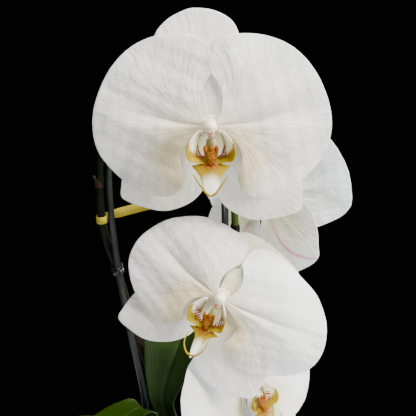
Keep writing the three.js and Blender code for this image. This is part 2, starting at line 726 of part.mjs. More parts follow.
// Where each bloom is, its size, and how it is turned, in degrees: `turn` to the viewer's right, `nod`
// downwards and `roll` clockwise. Each tepal then has its own place, as `tepalPoint` reads it, and the
// left and right petals their own width, `reach`, and turn towards the lip, `droop`.
const BLOOMS = [
  {
    name: "bloom_1", at: [23.9, -105, 304.8], size: 1.015, turn: 0, nod: 2, roll: 0,
    wave: 0.4, curl: 0.002, petals: { stretch: 1 }, reach: [0.99, 1.01], droop: [0, 0],
    upper: { turn: -10, stretch: 1.01, wide: 0.95 },
    left: { turn: -128.5, stretch: 0.965, wide: 0.96 }, right: { turn: 132.5, stretch: 1.04 },
    lip: { strip: 1, thread: STRAIGHT_THREAD, wide: 1 },
  },
  {
    name: "bloom_2", at: [53, -35, 264.5], size: 0.88, turn: 137, nod: 8, roll: 2,
    wave: 1.7, curl: 0.003, petals: { stretch: 0.94, below: 0.56, cup: 12 }, reach: [0.99, 0.99],
    droop: [0, 0], upper: { turn: 3, stretch: 0.95 },
    left: { turn: -126, stretch: 1.02, belly: 1.3 }, right: { turn: 129, stretch: 0.98, wide: 1.08 },
    lip: { strip: 1, thread: CURLED_THREAD, wide: 1 },
  },
  {
    name: "bloom_3", at: [28.4, -105, 221.4], size: 0.93, turn: -4, nod: -4, roll: 31,
    wave: 2.9, curl: 0.02, petals: { stretch: 0.87, below: 0.8 }, reach: [0.94, 1.065],
    droop: [0, 0], upper: { turn: 15, stretch: 0.9 },
    left: { turn: -132, stretch: 0.97, wide: 0.95, belly: 0.78 }, right: { turn: 131, stretch: 0.98 },
    lip: { strip: 0.62, thread: CURLED_THREAD, wide: 0.93 },
  },
  {
    name: "bloom_4", at: [42.2, -72, 171.5], size: 0.87, turn: 48, nod: -12, roll: -6,
    wave: 4.3, curl: 0.004, petals: { stretch: 0.8, below: 0.94 }, reach: [1, 1.09],
    droop: [12, 0], upper: { turn: -4, stretch: 0.95 },
    left: { turn: -129, stretch: 0.96 }, right: { turn: 129, stretch: 0.96 },
    lip: { strip: 0.9, thread: CURLED_THREAD, wide: 1 },
  },
];
const OVARY_END = -3.05;

function petalShape(place) {
  return blade(tepalPoint(petalFlat, petalRise, place), PETAL_ROWS, 12, TEPAL_THICK);
}

function sepalShape(flat, place) {
  return blade(tepalPoint(flat, sepalRise, place), SEPAL_ROWS, 8, TEPAL_THICK);
}

const columnShape = columnGeometry();

function facing(bloom) {
  const [turn, nod, roll] = [bloom.turn, bloom.nod, bloom.roll].map(THREE.MathUtils.degToRad);
  const spin = new THREE.Quaternion().setFromAxisAngle(v3(0, 0, 1), turn);
  const tip = new THREE.Quaternion().setFromAxisAngle(v3(1, 0, 0), Math.PI / 2 + nod);
  const lean = new THREE.Quaternion().setFromAxisAngle(v3(0, 0, 1), -roll);
  return spin.multiply(tip).multiply(lean);
}

function makeBloom(bloom) {
  const group = new THREE.Group();
  group.position.set(...bloom.at);
  group.quaternion.copy(facing(bloom));
  group.scale.setScalar(bloom.size);
  plant.add(group);
  const add = (part, geometry, look) => meshOf(`${bloom.name}_${part}`, geometry, look, group);
  const { curl, wave } = bloom;
  const petal = (k, extra) =>
    petalShape({ curl, wave: wave + extra, wide: bloom.reach[k], turn: bloom.droop[k], ...bloom.petals });
  const sepal = (flat, place, extra) => sepalShape(flat, { curl, wave: wave + extra, ...place });
  const turnedLeft = { ...bloom.left, turn: -bloom.left.turn };
  add("petal_right", petal(1, 0), "petal");
  add("petal_left", mirrored(petal(0, 1.3)), "petal");
  add("sepal_upper", sepal(upperFlat, bloom.upper, 2.1), "sepal");
  add("sepal_left", mirrored(sepal(lateralFlat, turnedLeft, 0.6)), "sepal");
  add("sepal_right", sepal(lateralFlat, bloom.right, 3.3), "sepal");
  add("column", columnShape.clone(), "column");
  add("lip", lipGeometry(bloom.lip), "lip");
  group.updateMatrixWorld(true);
  return group;
}

// A bud hangs at the end of a short stalk, which leaves the spike at the height `from`.
const BUDS = [
  { name: "bud_1", at: [46, -25, 139], tip: [43.5, -20.5, 126], size: 1, from: 150 },
  { name: "bud_2", at: [69, -38, 123], tip: [75, -40, 111], size: 0.72, from: 132 },
];
const BUD_PROFILE = [
  [0, 0], [2.6, 0.6], [5.4, 4], [6.6, 8.5], [6, 13], [3.8, 16.8], [1.3, 18.6], [0, 19],
];

function makeBud(bud) {
  const from = v3(...bud.at);
  const axis = v3(...bud.tip).sub(from).normalize();
  const profile = BUD_PROFILE.map(([r, z]) => new THREE.Vector2(r * bud.size, z * bud.size));
  const geometry = new THREE.LatheGeometry(profile, 12);
  geometry.scale(1, 1, 0.86);
  const mesh = meshOf(bud.name, geometry, "bud");
  mesh.position.copy(from);
  mesh.quaternion.setFromUnitVectors(v3(0, 1, 0), axis);
}

// The spike with its stalks and bracts
// Each stalk leaves the spike at a height on the falling side and ends as the bloom's ovary.
const STALK_HEIGHTS = { bloom_1: 300, bloom_2: 276, bloom_3: 250, bloom_4: 204 };

function bloomStalk(bloom, group) {
  const share = spikeDown(STALK_HEIGHTS[bloom.name]);
  const node = spikeCurve.getPointAt(share);
  const back = (z) => group.localToWorld(v3(0, 0.4, z));
  const behind = back(-15);
  const middle = node.clone().lerp(behind, 0.5).add(v3(0, 0, -2));
  const curve = new THREE.CatmullRomCurve3([node, middle, behind, back(-8), back(OVARY_END)]);
  const stalk = tube(curve, 7, 6, (u) => (1.55 + 1.05 * smooth((u - 0.35) / 0.6)) * bloom.size);
  const nub = new THREE.CylinderGeometry(1.7, 1.7, 2.4, 6);
  nub.rotateX(Math.PI / 2);
  nub.translate(0, 0.4, -2.95);
  nub.applyMatrix4(group.matrixWorld);
  return [stalk, nub, bract(share, behind.clone().sub(node))];
}

// A bract: a small scale that clasps the spike under a stalk or an unused node.
function bract(share, towards) {
  const node = spikeCurve.getPointAt(share);
  const along = spikeCurve.getTangentAt(share);
  const out = towards.clone().addScaledVector(along, -towards.dot(along)).normalize();
  const geometry = new THREE.ConeGeometry(2.3, 7, 5);
  geometry.scale(1, 1, 0.6);
  const lean = along.clone().multiplyScalar(0.86).addScaledVector(out, 0.5).normalize();
  geometry.applyQuaternion(new THREE.Quaternion().setFromUnitVectors(v3(0, 1, 0), lean));
  const foot = node.addScaledVector(out, 1.5).addScaledVector(along, 1);
  geometry.translate(foot.x, foot.y, foot.z);
  return geometry;
}

function nodeRing(share) {
  const swelling = spikeRadius(share) + 0.45;
  const geometry = new THREE.CylinderGeometry(swelling, swelling, 2.2, 7);
  const along = spikeCurve.getTangentAt(share);
  geometry.applyQuaternion(new THREE.Quaternion().setFromUnitVectors(v3(0, 1, 0), along));
  const p = spikeCurve.getPointAt(share);
  geometry.translate(p.x, p.y, p.z);
  return geometry;
}

function budStalk(bud) {
  const node = spikeCurve.getPointAt(spikeDown(bud.from));
  const end = v3(...bud.at);
  const axis = v3(...bud.tip).sub(end).normalize();
  end.addScaledVector(axis, -GAP);
  const before = end.clone().addScaledVector(axis, -5);
  const middle = node.clone().lerp(before, 0.55).add(v3(0, 0, 1));
  const curve = new THREE.CatmullRomCurve3([node, middle, before, end]);
  return tube(curve, 5, 6, (u) => (1.3 + 0.5 * u) * bud.size);
}

// Unused nodes on the rising side, each with the way its sleeping bud points.
const SLEEPING_NODES = [
  { height: 172, out: [-1, -0.5, 0] },
  { height: 268, out: [-1, -0.3, 0] },
];

function makeSpike(groups) {
  const parts = [spikeTube(0)];
  BLOOMS.forEach((bloom, i) => parts.push(...bloomStalk(bloom, groups[i])));
  parts.push(...BUDS.map(budStalk));
  for (const { height, out } of SLEEPING_NODES) {
    const share = spikeUp(height);
    parts.push(nodeRing(share), bract(share, v3(...out)));
  }
  meshOf("flower_spike", geometryOf(joined(parts)), "spike");
}

// Assembly
function crownPieces(extra) {
  return [crownSolid(extra), ...ROOTS.map((root) => rootTube(root, extra))];
}

makePot();
meshOf("crown_and_roots", geometryOf(joined(crownPieces(0))), "crown");
makeBark([...crownPieces(GAP), rodTube(GAP)]);
for (const leaf of LEAVES) {
  const shape = blade(leafSurface(leaf), LEAF_ROWS, LEAF_COLUMNS, LEAF_THICK);
  meshOf(leaf.name, shape, "leaf");
}
const bloomGroups = BLOOMS.map(makeBloom);
BUDS.forEach(makeBud);
makeSpike(bloomGroups);
meshOf("support_rod", rodTube(0), "rod");
makeClip("clip_1", rodUp(217.5), spikeUp(217.7));
makeClip("clip_2", rodUp(306), spikeUp(309));
makeClip("clip_3", rodDown(283), spikeDown(283));
makeTag();

export default plant;
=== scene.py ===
import math
from functools import partial

import bpy
import numpy as np
from mathutils import Matrix, Vector


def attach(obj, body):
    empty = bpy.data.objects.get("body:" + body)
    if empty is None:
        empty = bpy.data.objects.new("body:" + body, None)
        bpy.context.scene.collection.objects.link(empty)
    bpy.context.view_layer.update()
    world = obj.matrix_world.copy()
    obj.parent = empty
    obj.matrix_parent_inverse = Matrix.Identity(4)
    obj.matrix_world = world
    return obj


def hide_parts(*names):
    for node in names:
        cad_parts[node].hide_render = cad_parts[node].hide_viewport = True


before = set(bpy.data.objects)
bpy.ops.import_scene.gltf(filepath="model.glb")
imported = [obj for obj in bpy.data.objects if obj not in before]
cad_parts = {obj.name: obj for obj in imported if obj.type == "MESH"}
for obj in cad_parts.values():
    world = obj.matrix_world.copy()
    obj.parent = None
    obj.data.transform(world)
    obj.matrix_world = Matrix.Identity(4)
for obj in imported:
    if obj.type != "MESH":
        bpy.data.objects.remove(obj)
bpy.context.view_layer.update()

MM = 0.001
GAP = 0.35
SIDE_AXIS = np.array([1.0, 0.0, 0.0])


# Small sums
def smooth(x):
    c = np.clip(x, 0, 1)
    return c * c * (3 - 2 * c)


def hump(x, middle, width):
    return np.exp(-(((x - middle) / width) ** 2))


def window(x, start, rise, end, fall):
    """1 between two places, with a soft edge of its own width inside each."""
    return smooth((x - start) / rise) * smooth((end - x) / fall)


def unit(v):
    return v / np.maximum(np.linalg.norm(v, axis=-1, keepdims=True), 1e-12)


def stacked(x, y, z):
    return np.stack(np.broadcast_arrays(x, y, z), -1)


class Route:
    """A smooth curve through points, read by the share of its length."""

    def __init__(self, points, per_span=40):
        p = np.array(points, float)
        p = np.vstack([2 * p[0] - p[1], p, 2 * p[-1] - p[-2]])
        u = np.linspace(0, 1, per_span, endpoint=False)[:, None]
        spans = []
        for a, b, c, d in zip(p, p[1:], p[2:], p[3:]):
            before, between, after = (np.linalg.norm(v) ** 0.5 for v in (b - a, c - b, d - c))
            leave = (b - a) / before - (c - a) / (before + between) + (c - b) / between
            reach = (c - b) / between - (d - b) / (between + after) + (d - c) / after
            leave, reach = leave * between, reach * between
            square = 3 * (c - b) - 2 * leave - reach
            cube = 2 * (b - c) + leave + reach
            spans.append(b + leave * u + square * u**2 + cube * u**3)
        self.dense = np.vstack(spans + [p[-2:-1]])
        steps = np.linalg.norm(np.diff(self.dense, axis=0), axis=1)
        self.length = steps.sum()
        self.share = np.concatenate([[0], np.cumsum(steps)]) / self.length
        self.count = np.linspace(0, 1, len(self.dense))

    def _read(self, u, scale):
        return np.stack([np.interp(u, scale, self.dense[:, k]) for k in range(3)], -1)

    def at(self, u):
        return self._read(u, self.share)

    def by_point(self, u):
        return self._read(u, self.count)

    def way(self, u, step=2e-3):
        return unit(self.at(np.clip(u + step, 0, 1)) - self.at(np.clip(u - step, 0, 1)))

    def share_at_height(self, height, start, end):
        """The share at which the curve first reaches a height, between two shares."""
        u = np.linspace(start, end, 4000)
        z = self.at(u)[:, 2]
        return u[np.argmax((z >= height) if z[-1] > z[0] else (z <= height))]


# Meshes
class Shape:
    """Points in millimetres with their faces, their place on a pattern, and values for materials."""

    def __init__(self, points, quads=(), tris=(), uv=None, **fields):
        self.points = np.array(points, float).reshape(-1, 3)
        self.quads = np.array(quads, int).reshape(-1, 4)
        self.tris = np.array(tris, int).reshape(-1, 3)
        count = len(self.points)
        self.uv = np.zeros((count, 2)) if uv is None else np.array(uv, float).reshape(-1, 2)
        self.fields = {name: np.broadcast_to(v, count).astype(float) for name, v in fields.items()}

    def volume(self):
        q, p = self.quads, self.points
        tris = np.vstack([self.tris, q[:, [0, 1, 2]], q[:, [0, 2, 3]]])
        return np.einsum("ij,ij->i", p[tris[:, 0]], np.cross(p[tris[:, 1]], p[tris[:, 2]])).sum()

    def facing_out(self):
        if self.volume() < 0:
            self.quads = self.quads[:, ::-1]
            self.tris = self.tris[:, ::-1]
        return self

    def moved(self, change):
        copy = Shape(change(self.points), self.quads, self.tris, self.uv, **self.fields)
        return copy.facing_out()


def together(shapes):
    names = sorted({name for shape in shapes for name in shape.fields})
    starts = np.cumsum([0] + [len(shape.points) for shape in shapes])
    fields = {
        name: np.concatenate([s.fields.get(name, np.zeros(len(s.points))) for s in shapes])
        for name in names
    }
    return Shape(
        np.vstack([s.points for s in shapes]),
        np.vstack([s.quads + start for s, start in zip(shapes, starts)]),
        np.vstack([s.tris + start for s, start in zip(shapes, starts)]),
        np.vstack([s.uv for s in shapes]),
        **fields,
    )


def blade(point, rows, columns, thickness, **fields):
    """A closed sheet with a round rim about the surface point(s, t), s along and t across it."""
    s, t = np.meshgrid(rows, np.linspace(-1, 1, columns + 1), indexing="ij")
    step = 1e-3
    along = point(s + step, t) - point(s - step, t)
    across = point(s, t + step) - point(s, t - step)
    normal = unit(np.cross(along, across))
    middle = point(s, t)
    half = (np.broadcast_to(thickness(s, t), s.shape) / 2)[..., None]
    front, back = middle + normal * half, middle - normal * half
    index = np.arange(s.size).reshape(s.shape)
    rim = np.concatenate([index[0, :-1], index[:-1, -1], index[-1, :0:-1], index[:0:-1, 0]])
    inner = np.empty_like(index)
    inner[:] = index
    inner[0], inner[-1] = index[1], index[-2]
    inner[:, 0], inner[:, -1] = inner[:, 1], inner[:, -2]
    flat_middle, flat_normal = middle.reshape(-1, 3), normal.reshape(-1, 3)
    outward = flat_middle[rim] - flat_middle[inner.ravel()[rim]]
    outward -= flat_normal[rim] * np.sum(outward * flat_normal[rim], -1, keepdims=True)
    edge = flat_middle[rim] + unit(outward) * half.reshape(-1, 1)[rim]
    face = np.stack([index[:-1, :-1], index[1:, :-1], index[1:, 1:], index[:-1, 1:]], -1).reshape(-1, 4)
    size, last = s.size, 2 * s.size
    ring = np.arange(len(rim))
    ahead = np.roll(ring, -1)
    front_rim = np.stack([rim, rim[ahead], last + ahead, last + ring], -1)
    back_rim = np.stack([last + ring, last + ahead, size + rim[ahead], size + rim], -1)
    place = np.stack([(t.ravel() + 1) / 2, s.ravel()], -1)
    values = {
        name: np.concatenate([np.broadcast_to(f(s, t), s.shape).ravel()] * 2) for name, f in fields.items()
    }
    values = {name: np.concatenate([v, v[rim]]) for name, v in values.items()}
    values["back"] = np.repeat([0.0, 1.0, 0.5], [size, size, len(rim)])
    return Shape(
        np.vstack([front.reshape(-1, 3), back.reshape(-1, 3), edge]),
        np.vstack([face, face[:, ::-1] + size, front_rim, back_rim]),
        uv=np.vstack([place, place, place[rim]]),
        **values,
    ).facing_out()


def skin(rings, **fields):
    """A closed skin over rings of points, capped at both ends by a point in the middle."""
    rings = np.array(rings, float)
    count, sides = rings.shape[:2]
    index = np.arange(count * sides).reshape(count, sides)
    ahead = np.roll(index, -1, axis=1)
    quads = np.stack([index[:-1], ahead[:-1], ahead[1:], index[1:]], -1).reshape(-1, 4)
    first, last = count * sides, count * sides + 1
    caps = [np.stack([np.full(sides, first), ahead[0], index[0]], -1)]
    caps.append(np.stack([np.full(sides, last), index[-1], ahead[-1]], -1))
    ends = np.vstack([rings[0].mean(0), rings[-1].mean(0)])
    v, u = np.meshgrid(np.linspace(0, 1, count), np.arange(sides) / sides, indexing="ij")
    uv = np.vstack([np.stack([u.ravel(), v.ravel()], -1), [[0, 0], [0, 1]]])
    values = {}
    for name, field in fields.items():
        value = np.broadcast_to(field(v, u), v.shape).ravel()
        values[name] = np.concatenate([value, [value[0], value[-1]]])
    points = np.vstack([rings.reshape(-1, 3), ends])
    return Shape(points, quads, np.vstack(caps), uv, **values).facing_out()


def circle(sides):
    angle = np.linspace(0, 2 * math.pi, sides, endpoint=False)
    return np.cos(angle), np.sin(angle)


def turned(profile, sides, **fields):
    """A skin turned about Z from pairs of radius and height."""
    c, s = circle(sides)
    return skin([stacked(r * c, r * s, z) for r, z in profile], **fields)


def pebble(radii, at, sides=20, rings=12, **fields):
    c, s = circle(sides)
    tilt = np.linspace(0.08, math.pi - 0.08, rings)
    layers = [stacked(math.sin(a) * c, math.sin(a) * s, math.cos(a)) * radii + at for a in tilt]
    return skin(layers, **fields)


def rounded(profile, radius=0.9, steps=4):
    """The profile with each inner corner turned into a short curve."""
    p = np.array(profile, float)
    out = [p[0]]
    for a, b, c in zip(p, p[1:], p[2:]):
        room = min(radius, np.linalg.norm(b - a) * 0.45, np.linalg.norm(c - b) * 0.45)
        start, end = b + unit(a - b) * room, b + unit(c - b) * room
        for w in np.linspace(0, 1, steps + 1):
            out.append(start * (1 - w) ** 2 + b * 2 * w * (1 - w) + end * w**2)
    out.append(p[-1])
    return np.array(out)


def belt(path, closed, wall, height):
    """An upright strip of a wall's thickness along a plane path, with soft edges."""
    p = np.array(path, float)
    ahead, behind = np.roll(p, -1, 0), np.roll(p, 1, 0)
    if not closed:
        ahead[-1], behind[0] = p[-1], p[0]
    way = unit(ahead - behind)
    out = np.stack([way[:, 1], -way[:, 0]], -1)
    w, h, soft = wall / 2, height / 2, min(wall, height) * 0.28
    corners = [(w, h - soft), (w - soft, h), (soft - w, h), (-w, h - soft)]
    corners += [(-w, soft - h), (soft - w, -h), (w - soft, -h), (w, soft - h)]
    rings = [[[*(q + n * x), z] for x, z in corners] for q, n in zip(p, out)]
    if not closed:
        return skin(rings)
    rings = np.array(rings)
    index = np.arange(rings.shape[0] * 8).reshape(-1, 8)
    nxt = np.roll(index, -1, 0)
    quads = np.stack([index, np.roll(index, -1, 1), np.roll(nxt, -1, 1), nxt], -1).reshape(-1, 4)
    return Shape(rings.reshape(-1, 3), quads).facing_out()


# Blender objects
def mesh_of(name, shape, material, soft=True):
    mesh = bpy.data.meshes.new(name)
    faces = shape.quads.tolist() + shape.tris.tolist()
    mesh.from_pydata((shape.points * MM).tolist(), [], faces)
    corners = np.empty(len(mesh.loops), int)
    mesh.loops.foreach_get("vertex_index", corners)
    layer = mesh.uv_layers.new(name="UVMap")
    layer.data.foreach_set("uv", shape.uv[corners].ravel())
    for field, values in shape.fields.items():
        mesh.attributes.new(field, "FLOAT", "POINT").data.foreach_set("value", values)
    mesh.polygons.foreach_set("use_smooth", [soft] * len(mesh.polygons))
    mesh.materials.append(material)
    mesh.update()
    return mesh


def show(node, shape, material, soft=True):
    """The shape stands for a CAD node, which it hides, and takes the material it is given."""
    mesh = mesh_of(node + "_shown", shape, material, soft)
    piece = bpy.data.objects.new(node + "_shown", mesh)
    bpy.context.scene.collection.objects.link(piece)
    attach(piece, "root")
    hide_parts(node)


def linear(code):
    """An sRGB hex colour as linear red, green, blue and alpha."""
    values = [int(code[k : k + 2], 16) / 255 for k in (0, 2, 4)]
    return [v / 12.92 if v <= 0.04045 else ((v + 0.055) / 1.055) ** 2.4 for v in values] + [1.0]


def add(tree, kind, inputs=None, stops=None, **settings):
    """Adds a node, with its settings, its inputs or the links to them, and a colour ramp's stops."""
    node = tree.nodes.new(kind)
    for name, value in settings.items():
        setattr(node, name, value)
    for name, value in (inputs or {}).items():
        socket = node.inputs[name]
        if isinstance(value, bpy.types.NodeSocket):
            tree.links.new(value, socket)
        else:
            socket.default_value = linear(value) if socket.type == "RGBA" else value
    for k, (place, colour) in enumerate(stops or ()):
        ramp = node.color_ramp.elements
        element = ramp[k] if k < len(ramp) else ramp.new(place)
        element.position = place
        element.color = linear(colour)
    return node.outputs


def start_tree(name, sockets):
    """A geometry tree with named inputs and the material it ends in."""
    tree = bpy.data.node_groups.new(name, "GeometryNodeTree")
    tree.interface.new_socket("Geometry", in_out="OUTPUT", socket_type="NodeSocketGeometry")
    for label, kind in [("Geometry", "Geometry"), *sockets, ("Material", "Material")]:
        tree.interface.new_socket(label, in_out="INPUT", socket_type="NodeSocket" + kind)
    return tree, add(tree, "NodeGroupInput")


def end_tree(tree, given, geometry):
    whole = add(tree, "GeometryNodeRealizeInstances", {"Geometry": geometry})
    dressed = {"Geometry": whole["Geometry"], "Material": given["Material"]}
    painted = add(tree, "GeometryNodeSetMaterial", dressed)
    add(tree, "NodeGroupOutput", {"Geometry": painted["Geometry"]})
    return tree


def grown(name, carrier, tree, values):
    """The plain mesh that a geometry tree makes from a carrier mesh."""
    obj = bpy.data.objects.new(name, carrier)
    bpy.context.scene.collection.objects.link(obj)
    modifier = obj.modifiers.new(tree.name, "NODES")
    modifier.node_group = tree
    for item in tree.interface.items_tree:
        if item.in_out == "INPUT" and item.name in values:
            modifier[item.identifier] = values[item.name]
    bpy.context.view_layer.update()
    seen = obj.evaluated_get(bpy.context.evaluated_depsgraph_get())
    mesh = bpy.data.meshes.new_from_object(seen)
    obj.modifiers.remove(modifier)
    bpy.data.objects.remove(obj)
    return mesh


def shape_of(mesh, names=()):
    """A Blender mesh read back as a shape, in millimetres."""
    points = np.empty(len(mesh.vertices) * 3)
    mesh.vertices.foreach_get("co", points)
    quads = [list(f.vertices) for f in mesh.polygons if len(f.vertices) == 4]
    tris = []
    for face in mesh.polygons:
        corners = list(face.vertices)
        if len(corners) != 4:
            tris += [[corners[0], b, c] for b, c in zip(corners[1:], corners[2:])]
    fields = {}
    for name in names:
        values = np.empty(len(mesh.vertices))
        mesh.attributes[name].data.foreach_get("value", values)
        fields[name] = values
    return Shape(points / MM, quads, tris, None, **fields)


# Geometry trees
def ruffled(tree, geometry, depth, scale, detail, lift=None):
    """Moves the points of a geometry by noise of a given depth, and all of them by one lift."""
    put = partial(add, tree)
    grain = put("ShaderNodeTexNoise", {"Scale": scale, "Detail": detail})
    middle = {0: grain["Color"], 1: (0.5, 0.5, 0.5)}
    centred = put("ShaderNodeVectorMath", middle, operation="SUBTRACT")
    push = put("ShaderNodeVectorMath", {0: centred[0], "Scale": depth}, operation="SCALE")
    if lift is not None:
        push = put("ShaderNodeVectorMath", {0: push[0], 1: lift})
    return put("GeometryNodeSetPosition", {"Geometry": geometry, "Offset": push[0]})[0]


def stem_tree():
    tree, given = start_tree("round stem along a line", [("Sides", "Int"), ("Knobbles", "Float")])
    put = partial(add, tree)
    line = put("GeometryNodeMeshToCurve", {"Mesh": given["Geometry"]})
    circle_size = {"Resolution": given["Sides"], "Radius": 1.0}
    ring = put("GeometryNodeCurvePrimitiveCircle", circle_size, mode="RADIUS")
    girth = put("GeometryNodeInputNamedAttribute", {"Name": "girth"}, data_type="FLOAT")
    sweep = {"Curve": line[0], "Profile Curve": ring["Curve"], "Scale": girth[0], "Fill Caps": True}
    tube = put("GeometryNodeCurveToMesh", sweep)
    rough = ruffled(tree, tube[0], given["Knobbles"], 260.0, 2.0)
    soft = put("GeometryNodeSetShadeSmooth", {"Geometry": rough, "Shade Smooth": True})
    return end_tree(tree, given, soft[0])


def bark_tree():
    sockets = [("Reach", "Float"), ("Spacing", "Float"), ("Chip", "Vector"), ("Rough", "Float")]
    sockets += [("Level", "Vector"), ("Seed", "Int")]
    tree, given = start_tree("loose bark chips", sockets)
    put = partial(add, tree)

    bed = put("GeometryNodeMeshCircle", {"Vertices": 48, "Radius": given["Reach"]}, fill_type="NGON")
    spread = {"Mesh": bed[0], "Distance Min": given["Spacing"], "Density Max": 40000.0}
    spread["Seed"] = given["Seed"]
    dots = put("GeometryNodeDistributePointsOnFaces", spread, distribute_method="POISSON")
    cuts = {"Vertices X": 5, "Vertices Y": 4, "Vertices Z": 3}
    block = put("GeometryNodeMeshCube", {"Size": given["Chip"], **cuts})
    placed = {"Points": dots["Points"], "Instance": block["Mesh"]}
    turns, sizes = ((-0.55, -0.55, 0.0), (0.55, 0.55, 6.283)), ((0.6, 0.55, 0.6), (1.25, 1.2, 1.3))
    for label, (low, high) in (("Rotation", turns), ("Scale", sizes)):
        limits = {0: low, 1: high, "Seed": given["Seed"]}
        placed[label] = put("FunctionNodeRandomValue", limits, data_type="FLOAT_VECTOR")[0]
    chips = put("GeometryNodeInstanceOnPoints", placed)
    whole = put("GeometryNodeRealizeInstances", {"Geometry": chips[0]})
    return end_tree(tree, given, ruffled(tree, whole[0], given["Rough"], 150.0, 3.0, given["Level"]))


STEMS = stem_tree()


def stems(name, strands, material, sides=20, knobbles=0.0):
    """Round stems along lines. A strand is points and radii in millimetres."""
    points, edges, girth, along = [], [], [], []
    for line, radii in strands:
        first = len(points)
        points += (np.array(line) * MM).tolist()
        girth += (np.array(radii) * MM).tolist()
        along += np.linspace(0, 1, len(line)).tolist()
        edges += [(first + k, first + k + 1) for k in range(len(line) - 1)]
    carrier = bpy.data.meshes.new(name + "_line")
    carrier.from_pydata(points, edges, [])
    carrier.attributes.new("girth", "FLOAT", "POINT").data.foreach_set("value", girth)
    carrier.attributes.new("along", "FLOAT", "POINT").data.foreach_set("value", along)
    values = {"Sides": sides, "Knobbles": knobbles * MM, "Material": material}
    return shape_of(grown(name, carrier, STEMS, values), ["along"])


# Materials
BLACK, WHITE = "000000", "ffffff"


def start_material(name, values):
    """A material with the values that are even all over it, and what adds nodes to it."""
    made = bpy.data.materials.new(name)
    made.use_nodes = True
    surface = made.node_tree.nodes["Principled BSDF"]
    for label, value in values.items():
        surface.inputs[label].default_value = value
    return made, partial(add, made.node_tree)


def layered(put, tone, layers):
    """Colours laid over a tone, each by a share from 0 to 1 and the strength of its layer."""
    for colour, share, strength in layers:
        part = put("ShaderNodeMath", {0: share, 1: strength}, operation="MULTIPLY")
        tone = put("ShaderNodeMix", {0: part[0], 6: tone, 7: colour}, data_type="RGBA")[2]
    return tone


def end_material(made, tone, bumps, rough=None):
    """Links colour, roughness and bumps, each bump as its height and its depth in metres."""
    tree = made.node_tree
    surface = tree.nodes["Principled BSDF"]
    tree.links.new(tone, surface.inputs["Base Color"])
    if rough is not None:
        tree.links.new(rough, surface.inputs["Roughness"])
    before = {}
    for height, depth in bumps:
        inputs = {"Height": height, "Distance": depth, "Strength": 1.0, **before}
        before = {"Normal": add(tree, "ShaderNodeBump", inputs)["Normal"]}
    tree.links.new(before["Normal"], surface.inputs["Normal"])
    return made


def spaced(size):
    """The scale of a pattern whose marks are so many millimetres apart."""
    return 1 / (size * MM)


def drawn_out(put, where, stretch, scale=1.0, detail=2.0):
    """Noise that is longer one way than another, as veins and grain are."""
    laid = put("ShaderNodeMapping", {"Vector": where, "Scale": stretch})
    return put("ShaderNodeTexNoise", {"Vector": laid[0], "Scale": scale, "Detail": detail})["Fac"]


def scatter(weight, depth, green, blue):
    """How far light spreads in live tissue, with red the furthest."""
    values = {"Subsurface Weight": weight, "Subsurface Scale": depth}
    return values | {"Subsurface Radius": (1.0, green, blue)}


def tepal_material(name, face, vein, foot, reverse, under):
    # Live petal tissue: matt satin white, with water-clear cells that let light through, and fine
    # veins that fan out from the foot. The eye sees faint radiating lines and a soft crinkle, and
    # on the back a pink line down the keel. The cells are drawn several times too coarse, to show.
    values = {"Roughness": 0.52, "IOR": 1.42, "Sheen Weight": 0.12, "Sheen Roughness": 0.5}
    made, put = start_material(name, values | scatter(0.4, 0.004, 0.96, 0.88))
    where = put("ShaderNodeTexCoord")
    along = put("ShaderNodeSeparateXYZ", {"Vector": where["UV"]})["Y"]
    outer = put("ShaderNodeValToRGB", {"Fac": along}, [(0.15, BLACK), (0.6, WHITE)])["Color"]
    inner = put("ShaderNodeValToRGB", {"Fac": along}, [(0.3, WHITE), (0.85, BLACK)])["Color"]
    wavy = drawn_out(put, where["UV"], (34.0, 3.0, 1.0), detail=3.0)
    fine = drawn_out(put, where["UV"], (110.0, 7.0, 1.0))
    lines = [(0.42, BLACK), (0.5, WHITE), (0.58, BLACK)]
    streaks = put("ShaderNodeValToRGB", {"Fac": wavy}, lines)["Color"]
    streaks, wavy, fine = (
        put("ShaderNodeMath", {0: pattern, 1: outer}, operation="MULTIPLY")[0]
        for pattern in (streaks, wavy, fine)
    )
    crinkle, cells, clouds = (
        put("ShaderNodeTexNoise", {"Vector": where["Object"], "Scale": spaced(size), "Detail": detail})["Fac"]
        for size, detail in ((2.381, 3.0), (0.38462, 1.0), (18.182, 2.0))
    )
    # The foot colour is painted warm shade, laid beside the lip and at the feet of the tepals; on some blooms
    # a small even share of it is their own creamier tone.
    cream = put("ShaderNodeAttribute", attribute_name="cream")["Fac"]
    keel = put("ShaderNodeAttribute", attribute_name="from_keel")["Fac"]
    back = put("ShaderNodeAttribute", attribute_name="back")["Fac"]
    aside = put("ShaderNodeMath", {0: keel}, operation="ABSOLUTE")[0]
    flush = [(0.0, "f0f0f0"), (0.02, "e0e0e0"), (0.055, "383838"), (0.4, BLACK)]
    flushed = put("ShaderNodeValToRGB", {"Fac": aside}, flush)["Color"]
    behind = [(vein, streaks, 0.12), (under, inner, 0.7), ("cf6f9c", flushed, 1.0)]
    layers = [(vein, streaks, 0.1), (vein, clouds, 0.08), (foot, cream, 0.85)]
    layers.append((layered(put, reverse, behind), back, 1.0))
    bumps = [(wavy, 0.0007), (fine, 0.00012), (crinkle, 0.0004), (cells, 0.00004)]
    return end_material(made, layered(put, face, layers), bumps)


